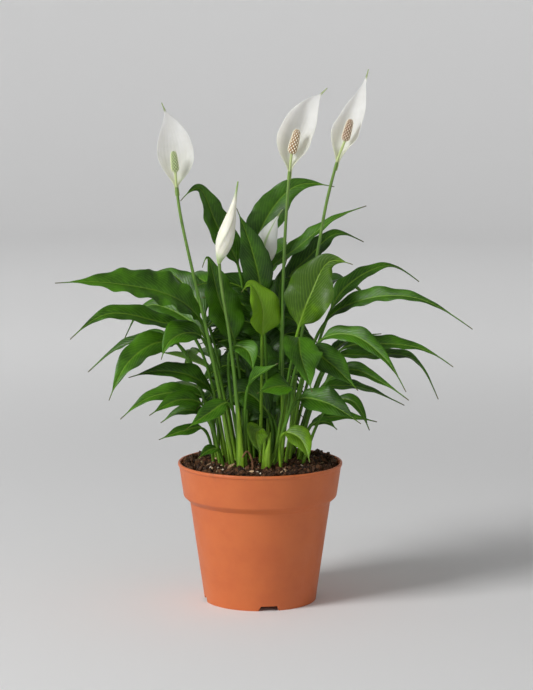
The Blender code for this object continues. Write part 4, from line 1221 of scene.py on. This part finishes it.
# %% The flowers' routes
# Each flower: its root, the points of its stem, the points of the spathe's midrib, the side that the
# spathe faces, its width, the radius it is cupped to, how far each side curls over, the two powers
# of its outline, and the foot, the top and the radius of the spadix. Heights are above the soil.
FLOWERS = {
    "flower_left": dict(
        root=(-0.025, -0.028),
        stem=[(-0.039, -0.031, 0.062), (-0.053, -0.046, 0.137), (-0.067, -0.044, 0.197),
              (-0.080, -0.032, 0.255), (-0.084, -0.028, 0.283)],
        spathe=[(-0.085, -0.017, 0.310), (-0.090, -0.014, 0.342), (-0.099, -0.020, 0.368)],
        facing=(0.1, -1.0, 0.0), width=0.041, cup=0.026, curls=(0.0, 0.0), taper=(0.85, 1.05),
        spadix=((-0.085, -0.030, 0.299), (-0.087, -0.031, 0.320), 0.0046)),
    "flower_back": dict(
        root=(0.0, -0.004),
        stem=[(0.002, 0.013, 0.133), (0.003, 0.019, 0.164), (0.005, 0.021, 0.194)],
        spathe=[(0.004, 0.016, 0.219), (0.014, 0.017, 0.243), (0.023, 0.023, 0.257)],
        facing=(0.3, 1.0, 0.0), width=0.029, cup=0.013, curls=(0.0, 0.0), taper=(0.72, 1.0),
        spadix=((0.006, 0.024, 0.207), (0.010, 0.025, 0.226), 0.0032)),
    "flower_tall": dict(
        root=(0.023, 0.003),
        stem=[(0.023, -0.008, 0.136), (0.024, -0.009, 0.198), (0.027, -0.008, 0.259),
              (0.030, -0.006, 0.298)],
        spathe=[(0.038, 0.006, 0.337), (0.051, 0.006, 0.363), (0.068, -0.001, 0.382)],
        facing=(-0.3, -1.0, 0.0), width=0.044, cup=0.026, curls=(0.0, 0.5), taper=(0.8, 0.9),
        spadix=((0.032, -0.008, 0.316), (0.038, -0.010, 0.341), 0.0056)),
    "flower_right": dict(
        root=(0.028, 0.008),
        stem=[(0.041, 0.002, 0.119), (0.057, 0.0, 0.205), (0.068, -0.002, 0.267),
              (0.078, -0.004, 0.307)],
        spathe=[(0.091, 0.008, 0.337), (0.101, 0.009, 0.367), (0.110, 0.004, 0.401)],
        facing=(-0.65, -1.0, 0.0), width=0.036, cup=0.020, curls=(0.0, 0.35), taper=(0.68, 1.15),
        spadix=((0.086, -0.006, 0.329), (0.092, -0.008, 0.351), 0.0050)),
}
BUD = dict(
    root=(-0.019, -0.040),
    stem=[(-0.024, -0.037, 0.071), (-0.031, -0.036, 0.134), (-0.039, -0.036, 0.185),
          (-0.041, -0.036, 0.207)],
    spathe=[(-0.035, -0.036, 0.231), (-0.030, -0.036, 0.251), (-0.026, -0.036, 0.268),
            (-0.022, -0.036, 0.290)],
    radii=(0.0016, 0.0060, 0.0087, 0.0085, 0.0066, 0.0044, 0.0023, 0.0011, 0.0006),
    swelling=2.1)
print("flowers:", len(FLOWERS), "open and one bud")

# %% Stem shape
STEM_RADIUS = 0.0016
STEM_GAP = 0.0003
STEM_RINGS = 110
STEM_RIBS = 0.03


def stem_piece(name, root, route, radii, finish, slot, replaced):
    """A stem from below the soil to the last point, with its radius read along a short list and 7
    ribs: radius times 1 + 0.03 cos(7 angle). It returns the stem's end and its direction there."""
    share = np.linspace(0, 1, STEM_RINGS)
    line = along(curve_through([(*root, GROUND - ROOT_DEPTH), *above_soil(route)]), share)
    radius = read_along(share, radii) * (1 + 0.02 * lattice_noise(400 * share, 0 * share, 9.0, len(name)))
    angle = 2 * np.pi * np.arange(ROUND_POINTS) / ROUND_POINTS
    ribs = 1 + STEM_RIBS * np.cos(7 * angle + 2 * share[:, None])
    points = round_section(line, radius, ribs)
    grown(name, points, finish, slot, replaced, stem=in_order(share[:, None], 0, 0))
    return line[-1], unit(line[-1] - line[-3])


def stem_finish():
    material, tree, shader = new_finish("flower_stem")
    place = own_place(tree)
    share = mark(tree, "stem")[0]
    colour = blend(tree, stretch(tree, share, 0.0, 0.45), rgb(122, 160, 38), rgb(84, 124, 34))
    colour = blend(tree, stretch(tree, share, 0.55, 1.0), colour, rgb(112, 144, 64))
    fibres = cloud(tree, drawn_up(tree, place, 0.04), 900, 3.0, 0.6)
    colour = blend(tree, stretch(tree, fibres, 0.4, 0.7, 0.0, 0.55), colour, rgb(40, 78, 18))
    normal = raised(tree, fibres, 0.0002, 0.5)
    feed(tree, shader, Base_Color=colour, Roughness=0.42, Normal=normal, Specular_IOR_Level=0.4)
    return material


stem_green = stem_finish()
print("stem finish:", stem_green.name)

# %% [markdown]
# ## Spathes
#
# The white "petal" is a single leaf turned white, the spathe. It clasps the stem, opens into a
# cup behind the spadix, and ends in a drawn-out green point. It is a cupped surface: across, each
# ring is an arc of a circle, whose radius grows from the stem's own to the full cup over the first
# third. Along, the half width is a sine bulge like the leaf's, sin(pi s^p)^q: a power p below one
# moves the widest place towards the stem, and q makes the outline fuller or more pointed. The last
# centimetre is a thread that drips off rain.
#
# One side may curl over towards the front. That is an extra bend, which grows with the cube of the
# distance from the middle.

# %% Spathe shape
SHEATH_LENGTH = 0.008
SPATHE_THICKNESS = 0.0007
DRIP_LENGTH = 0.0095
DRIP_HALF = 0.0005
TAIL_HALF = 0.0020
CLASP_SHARE = 0.2
WRAP_LIMIT = math.radians(115)
PUCKER = 0.00006
PETAL_WAVE = 0.07
PETAL_BEATS = np.array([2.3, 2.9])
PETAL_POINTS = 33
petal_out = np.linspace(-1, 1, PETAL_POINTS)
PETAL_RING = np.concatenate([petal_out, petal_out[::-1]])
OUTER = np.where(np.arange(2 * PETAL_POINTS) < PETAL_POINTS, 1.0, -1.0)
HUG = STEM_RADIUS + STEM_GAP + SPATHE_THICKNESS / 2


def spathe_line(top, ahead, route, facing):
    """The midrib: down the stem's back, away from the side that the spathe faces, then its route."""
    inwards = unit(facing - (ahead @ facing) * ahead)
    foot = top - inwards * HUG
    clasp = [foot - ahead * SHEATH_LENGTH, foot - ahead * SHEATH_LENGTH / 2, foot]
    spans = curve_through([*clasp, foot + ahead * STEM_RADIUS, *above_soil(route)])
    return along(spans, np.linspace(0, 1, 120))


def spathe_half(petal, width, taper):
    """The half width: the bulge sin(pi s^p)^q, never less than what clasps the stem at the foot, or
    than the tail that narrows to a thread at the tip."""
    s = np.clip(petal, 0, 1)[:, None]
    bulge = width / 2 * np.sin(np.pi * s ** taper[0]) ** taper[1]
    tail = DRIP_HALF + TAIL_HALF * (1 - smooth(petal, 0.86, 1.09))[:, None] * (s > 0.5)
    return np.maximum(bulge, np.where(s < CLASP_SHARE, HUG * (1 - s / CLASP_SHARE) + DRIP_HALF, tail))


def spathe_piece(name, top, ahead, route, facing, width, cup, curls, taper, finish, replaced, seed):
    """Rings along the spathe's midrib: u = r sin(b), v = c - r cos(b), where c is the cup's radius
    there, b the angle out from the midrib, and r is c plus or minus half the thickness."""
    rng = np.random.default_rng(seed)
    facing = np.array(facing)
    line = spathe_line(top, ahead, route, facing)
    forward = unit(np.gradient(line, axis=0))
    upwards = unit(facing - (forward @ facing)[:, None] * forward)
    sideways = np.cross(upwards, forward)
    length = travelled(line)
    petal = (length - SHEATH_LENGTH) / (length[-1] - SHEATH_LENGTH - DRIP_LENGTH)
    s, t = np.clip(petal, 0, 1)[:, None], PETAL_RING
    curl = HUG + (cup - HUG) * smooth(s, 0, 0.35)
    half = spathe_half(petal, width, taper)
    bend = np.minimum(half / curl, WRAP_LIMIT) * t
    puckered = PUCKER * np.sin(np.abs(t) * 9 * np.pi) * smooth(s, 0.08, 0.25) * (1 - s**2)
    reach = curl + OUTER * SPATHE_THICKNESS / 2 * (1 - 0.6 * np.abs(t) ** 6) + puckered
    side = (t > 0).astype(int)
    phase, beat = rng.uniform(0, 2 * np.pi, 2)[side], PETAL_BEATS[side]
    wave = PETAL_WAVE * half * np.abs(t) ** 3 * np.sin(2 * np.pi * beat * s + phase)
    over = np.where(t < 0, curls[0], curls[1]) * half * t**2 * np.abs(t) * np.sin(np.pi * s) ** 0.8
    u = reach * np.sin(bend) - np.sign(t) * np.abs(over) * 0.5
    v = curl - reach * np.cos(bend) + wave + over
    points = carried(line, sideways, upwards, u, v)
    grown(name, points, finish, "spathe", replaced, sharp=70, petal=in_order(petal[:, None], t, OUTER))


print("a spathe hugs its stem at", round(1000 * HUG, 2), "mm from the stem's middle")

# %% [markdown]
# White petals are never plain white. The face is a warm ivory, greener down at the cup where it
# joins the stem. Fine veins run almost parallel from foot to tip. The back shows a green midrib,
# and the drawn-out tip turns green. The tissue is thin, so a soft glow from light inside it, which
# is what subsurface scattering gives, keeps the shaded parts from going grey.

# %% Spathe finish
def spathe_finish():
    material, tree, shader = new_finish("ivory_spathe")
    place = own_place(tree)
    share, out, outer = mark(tree, "petal")
    patches = cloud(tree, place, 45, 3.0, 0.55)
    colour = blend(tree, stretch(tree, patches, 0.3, 0.75), rgb(234, 231, 222), rgb(222, 219, 208))
    across_veins = calc(tree, "SINE", calc(tree, "MULTIPLY", out, 34.0))
    veins = stretch(tree, across_veins, 0.55, 1.0)
    colour = blend(tree, calc(tree, "MULTIPLY", veins, 0.08), colour, rgb(214, 220, 186))
    cup = stretch(tree, share, 0.10, 0.62, 0.6, 0.0)
    colour = blend(tree, cup, colour, rgb(222, 222, 190))
    foot = stretch(tree, share, 0.0, 0.20, 0.65, 0.0)
    colour = blend(tree, foot, colour, rgb(196, 208, 150))
    clasp = stretch(tree, share, -0.05, 0.03, 1.0, 0.0)
    colour = blend(tree, clasp, colour, rgb(150, 176, 98))
    away = calc(tree, "ABSOLUTE", out)
    middle = stretch(tree, away, 0.02, 0.16, 0.85, 0.0)
    behind = stretch(tree, outer, -0.1, 0.1)
    colour = blend(tree, calc(tree, "MULTIPLY", middle, behind), colour, rgb(150, 182, 104))
    tip = stretch(tree, share, 0.97, 1.03)
    colour = blend(tree, tip, colour, rgb(124, 144, 84))
    normal = raised(tree, across_veins, 0.00008, 0.35)
    normal = raised(tree, cloud(tree, place, 700, 3.0, 0.6), 0.0002, 0.3, normal)
    feed(tree, shader, Base_Color=colour, Roughness=0.5, Normal=normal, Specular_IOR_Level=0.25)
    feed(tree, shader, Subsurface_Weight=0.85, Subsurface_Radius=(1.0, 0.95, 0.85), Subsurface_Scale=0.006)
    return material


ivory_spathe = spathe_finish()
print("spathe finish:", ivory_spathe.name)

# %% [markdown]
# ## Spadices
#
# The spadix is a club packed with tiny florets, set in two families of spirals, like the scales of
# a pine cone. Where the two families cross, there is a floret. With a = (n angle + k height) / 2 and
# b = (n angle - k height) / 2, the product cos(a)^2 cos(b)^2 is 1 at each crossing and 0 along the
# lines between. Raised to a power below one, which makes them plump, it is the height of the
# florets. The product itself, stored on the mesh, colours the gaps darker than the tops, as painted
# shade between the florets.

# %% Spadix shape
STIPE_RADIUS = 0.0013
STIPE_RINGS = 13
CLUB_RINGS = 150
FLORETS_ROUND = 8
FLORET_HEIGHT = 0.0012
FLORET_SPREAD = 0.95
SPADIX_SIDES = 104


def spadix_piece(name, top, ahead, foot, tip, radius, finish, slot, replaced):
    """A thin stipe that swells into a club, r (1 - 0.26 x^1.5) (1 - |2x - 1|^7)^0.45 at the share x
    of its height. The florets stand on a surface that lies their own height inside it."""
    start = top + ahead * STEM_GAP
    foot, tip = np.array(above_soil([foot, tip]))
    length = np.linalg.norm(tip - foot)
    rise = np.linspace(0, 1, CLUB_RINGS)
    path = curve_through([start, start + ahead * 0.003, foot - (tip - foot) * 0.02])
    stipe = along(path, np.linspace(0, 1, STIPE_RINGS + 1))
    line = np.concatenate([stipe[:-1], foot + rise[:, None] * (tip - foot)])
    body = radius * (1 - 0.26 * rise**1.5) * np.maximum(1 - np.abs(2 * rise - 1) ** 7, 0) ** 0.45
    thick = np.concatenate([np.full(STIPE_RINGS, STIPE_RADIUS), np.maximum(body, 0.0002)])
    joint = slice(STIPE_RINGS, STIPE_RINGS + 9)
    thick[joint] = np.maximum(thick[joint], STIPE_RADIUS)
    thick, up = thick[:, None], np.concatenate([np.zeros(STIPE_RINGS), rise])[:, None]
    angle = 2 * np.pi * np.arange(SPADIX_SIDES) / SPADIX_SIDES
    turns_up = round(2 * length / (2 * np.pi * radius / FLORETS_ROUND) / FLORET_SPREAD)
    a = (FLORETS_ROUND * angle + np.pi * turns_up * up) / 2
    b = (FLORETS_ROUND * angle - np.pi * turns_up * up) / 2
    crossing = np.cos(a) ** 2 * np.cos(b) ** 2 * (up > 0)
    reach = thick - FLORET_HEIGHT * (up > 0) * smooth(thick, 0.001, 0.003) + FLORET_HEIGHT * crossing**0.6
    points = round_section(line, np.ones(len(line)), reach, SPADIX_SIDES)
    grown(name, points, finish, slot, replaced, sharp=180, floret=in_order(crossing, up, 0))


def spadix_finish(name, gap_shade_colour, side_colour, top_colour):
    material, tree, shader = new_finish(name)
    place = own_place(tree)
    floret, up = mark(tree, "floret")[:2]
    # The gaps between the florets get the darkest colour: painted shade between the florets.
    colour = blend(tree, stretch(tree, floret, 0.10, 0.26), gap_shade_colour, side_colour)
    colour = blend(tree, stretch(tree, floret, 0.26, 0.46), colour, top_colour)
    powder = cloud(tree, place, 900, 4.0, 0.7)
    colour = blend(tree, stretch(tree, powder, 0.45, 0.75, 0, 0.12), colour, top_colour)
    colour = blend(tree, stretch(tree, up, 0.0, 0.02, 1.0, 0.0), colour, rgb(186, 200, 140))
    normal = raised(tree, powder, 0.0002, 0.6)
    feed(tree, shader, Base_Color=colour, Roughness=0.75, Normal=normal, Specular_IOR_Level=0.3)
    return material


spadix_finishes = {
    "spadix_green": spadix_finish("green_spadix", rgb(66, 104, 16), rgb(188, 206, 104), rgb(250, 252, 216)),
    "spadix_cream": spadix_finish("cream_spadix", rgb(140, 88, 34), rgb(236, 222, 172), rgb(255, 253, 238)),
    "spadix_tan": spadix_finish("tan_spadix", rgb(104, 56, 22), rgb(208, 176, 134), rgb(255, 244, 222)),
}
SPADIX_KIND = {"flower_left": "spadix_green", "flower_back": "spadix_green",
               "flower_tall": "spadix_cream", "flower_right": "spadix_tan"}
print("spadix finishes:", ", ".join(spadix_finishes))

# %% Open flowers
FOOT_SHARE, TOP_SHARE = 1.12, 0.92
for number, (name, flower) in enumerate(FLOWERS.items()):
    radii = (STEM_RADIUS * FOOT_SHARE, STEM_RADIUS * TOP_SHARE)
    top, ahead = stem_piece(f"lily_{name}_stem", flower["root"], flower["stem"], radii, stem_green,
                            "flower_stem", [f"{name}_stem"])
    spathe_piece(f"lily_{name}_spathe", top, ahead, flower["spathe"], flower["facing"], flower["width"],
                 flower["cup"], flower["curls"], flower["taper"], ivory_spathe, [f"{name}_spathe"], number)
    kind = SPADIX_KIND[name]
    spadix_piece(f"lily_{name}_spadix", top, ahead, *flower["spadix"], spadix_finishes[kind], kind,
                 [f"{name}_spadix"])
    print(name, "is", round(1000 * float(top[2])), "mm up at the foot of its spathe")

# %% [markdown]
# ## The bud
#
# A spathe that hasn't opened is rolled up like a paper cone: its edge laps over itself and runs in a
# long spiral from foot to tip. Measured round from that edge, the radius grows evenly from a little
# under to a little over its mean, so there is a step where the roll laps over. The rings' first
# point sits on the step, and turns with it on the way up.

# %% Bud and its stem
BUD_LAP = 0.13
BUD_TURN = 2.6
BUD_SEAM = 3.9
BUD_SIDES = 56


def bud_piece(top, ahead, route, radii):
    """Rings of radius r (1 + 0.13 (a / 2 pi - 0.5)), where a is the angle round from the lap. The
    last point stops just short of the first, so the step between them is steep."""
    start = top + ahead * STEM_GAP
    share = np.linspace(0, 1, 120)
    body = along(curve_through([start, start + ahead * STEM_RADIUS, *above_soil(route)]), share)
    radius = np.convolve(np.pad(read_along(share, radii), 4, mode="edge"), np.ones(9) / 9, mode="valid")
    angle = np.linspace(0, 2 * np.pi, BUD_SIDES, endpoint=False) * (1 - 0.4 / BUD_SIDES)
    lap = BUD_LAP * (angle / (2 * np.pi) - 0.5)
    lap = 1 + lap * smooth(share, 0.02, 0.2)[:, None] * (1 - share[:, None] ** 4)
    grooves = 1 + 0.012 * np.cos(6 * angle + 5 * share[:, None])
    sideways, upwards = across(body, np.array([1.0, 0.0, 0.0]))
    turn = angle + BUD_SEAM + BUD_TURN * share[:, None]
    reach = radius[:, None] * lap * grooves
    points = carried(body, sideways, upwards, reach * np.cos(turn), reach * np.sin(turn))
    grown("lily_bud", points, bud_finish, "spathe", ["flower_bud_spathe"], sharp=60,
          petal=in_order(share[:, None], angle / np.pi - 1, -1))


def rolled_finish():
    """The spathe's ivory, with green along its foot, its ribs and its tip."""
    material, tree, shader = new_finish("rolled_spathe")
    place = own_place(tree)
    share, out = mark(tree, "petal")[:2]
    patches = stretch(tree, cloud(tree, place, 60, 3.0, 0.6), 0.3, 0.7)
    colour = blend(tree, patches, rgb(240, 238, 226), rgb(228, 226, 208))
    ribs = stretch(tree, calc(tree, "SINE", calc(tree, "MULTIPLY", out, 22.0)), 0.5, 1.0)
    colour = blend(tree, calc(tree, "MULTIPLY", ribs, 0.22), colour, rgb(200, 212, 160))
    colour = blend(tree, stretch(tree, share, 0.0, 0.16, 0.9, 0.0), colour, rgb(150, 184, 100))
    colour = blend(tree, stretch(tree, share, 0.74, 0.95), colour, rgb(132, 164, 84))
    normal = raised(tree, ribs, 0.0002, 0.4)
    feed(tree, shader, Base_Color=colour, Roughness=0.5, Normal=normal, Specular_IOR_Level=0.35)
    feed(tree, shader, Subsurface_Weight=0.2, Subsurface_Radius=(1.0, 0.9, 0.6), Subsurface_Scale=0.003)
    return material


bud_finish = rolled_finish()
bud_radii = (STEM_RADIUS * BUD["swelling"], STEM_RADIUS * STALK_FLARE, STEM_RADIUS, STEM_RADIUS)
top, ahead = stem_piece("lily_bud_stem", BUD["root"], BUD["stem"], bud_radii, stem_green,
                        "flower_stem", ["flower_bud_stem"])
bud_piece(top, ahead, BUD["spathe"], BUD["radii"])
print("bud:", round(1000 * (BUD["spathe"][-1][2] + GROUND)), "mm up at its tip")

# %% [markdown]
# ## A withered stalk
#
# Old leaves die back and leave a thin brown stalk that flops over at the soil. It is the stem's
# shape again, thinner, and shrunken: deep lengthwise wrinkles and a bent, uneven run.

# %% Withered stalk
WITHERED = [(-0.008, -0.048, -0.008), (-0.008, -0.052, 0.008),
            (-0.013, -0.054, 0.018), (-0.018, -0.056, 0.012)]
WITHERED_RADII = (0.0012, 0.0010, 0.0008, 0.0006)


def withered_finish():
    material, tree, shader = new_finish("withered_stalk")
    place = own_place(tree)
    fibres = cloud(tree, drawn_up(tree, place, 0.15), 900, 4.0, 0.7)
    colour = blend(tree, stretch(tree, fibres, 0.3, 0.7), rgb(92, 58, 38), rgb(158, 112, 76))
    feed(tree, shader, Base_Color=colour, Roughness=0.8, Normal=raised(tree, fibres, 0.0004, 0.8))
    return material


share = np.linspace(0, 1, 60)
line = along(curve_through(above_soil(WITHERED)), share)
angle = 2 * np.pi * np.arange(ROUND_POINTS) / ROUND_POINTS
wrinkles = 1 + 0.14 * np.cos(5 * angle + 9 * share[:, None]) + 0.05 * np.cos(20 * share[:, None] + angle)
stalk_rings = round_section(line, read_along(share, WITHERED_RADII), wrinkles)
grown("dry_stalk", stalk_rings, withered_finish(), "dry_stalk", ["withered_stalk"])
print("withered stalk: ends", round(1000 * float(line[-1][2] - GROUND)), "mm above the soil")

# %% [markdown]
# ## Floor and backdrop
#
# A studio sweep has no corner: the floor curves up into the wall, so the background is one even
# tone. This one is round, like a shallow bowl, so that the plant can be looked at from every side,
# and wide, so that whoever looks stands inside it. A straight floor, a quarter circle and a
# straight wall are turned about the pot's axis.
#
# The lamps light the paper best near the pot. A faint glow, which grows with the distance from the
# pot and halves again towards the wall, evens that out.

# %% Sweep
FLOOR_RADIUS = 4.2
BEND = 0.9
WALL_TOP = 2.4
STAGE_SIDES = 96
quarter = np.linspace(0, np.pi / 2, 24)
stage_radius = np.r_[0.6, 2.4, FLOOR_RADIUS + BEND * np.sin(quarter), FLOOR_RADIUS + BEND]
stage_height = np.r_[0, 0, BEND - BEND * np.cos(quarter), WALL_TOP]
stage_points = turned(np.stack([stage_radius, stage_height], axis=1), STAGE_SIDES)
middle = list(range(STAGE_SIDES))
stage_faces = skin(len(stage_radius), STAGE_SIDES)[0]
stage_data = bpy.data.meshes.new("sweep")
stage_data.from_pydata(stage_points.reshape(-1, 3), [], [middle] + stage_faces[:, ::-1].tolist())
stage_data.shade_smooth()
sweep = bpy.data.objects.new("sweep", stage_data)
bpy.context.scene.collection.objects.link(sweep)
sweep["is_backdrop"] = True
print("sweep:", round(2 * (FLOOR_RADIUS + BEND), 1), "m across")

# %% Studio paper
GLOW, GLOW_STARTS, GLOW_FULL = 0.16, 0.7, 2.2
FADE, FADE_STARTS, FADE_ENDS = 0.08, 2.8, 4.8


def studio_paper():
    material, tree, shader = new_finish("studio_paper")
    away = add(tree, "ShaderNodeVectorMath", {0: own_place(tree)}, operation="LENGTH").outputs["Value"]
    grows = stretch(tree, away, GLOW_STARTS, GLOW_FULL, 0.0, GLOW)
    fades = stretch(tree, away, FADE_STARTS, FADE_ENDS, 0.0, FADE)
    feed(tree, shader, Base_Color=rgb(233, 233, 233), Roughness=0.85, Specular_IOR_Level=0.2)
    feed(tree, shader, Emission_Color=WHITE, Emission_Strength=calc(tree, "SUBTRACT", grows, fades))
    return material


stage_data.materials.append(studio_paper())
print("paper: glows up to", GLOW, "and", GLOW - FADE, "at the wall")

# %% [markdown]
# ## Last look at the size
#
# The finished plant is meant to fill the same box as the fixed model. The last lines measure its
# box and print how far its two corners moved from the fixed model's.

# %% Size and finish
finished_box = [list(corner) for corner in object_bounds()]
grew = 1000 * (np.array(finished_box) - np.array(model_box))
print("box moved by", np.round(grew[0], 1), "and", np.round(grew[1], 1), "mm")
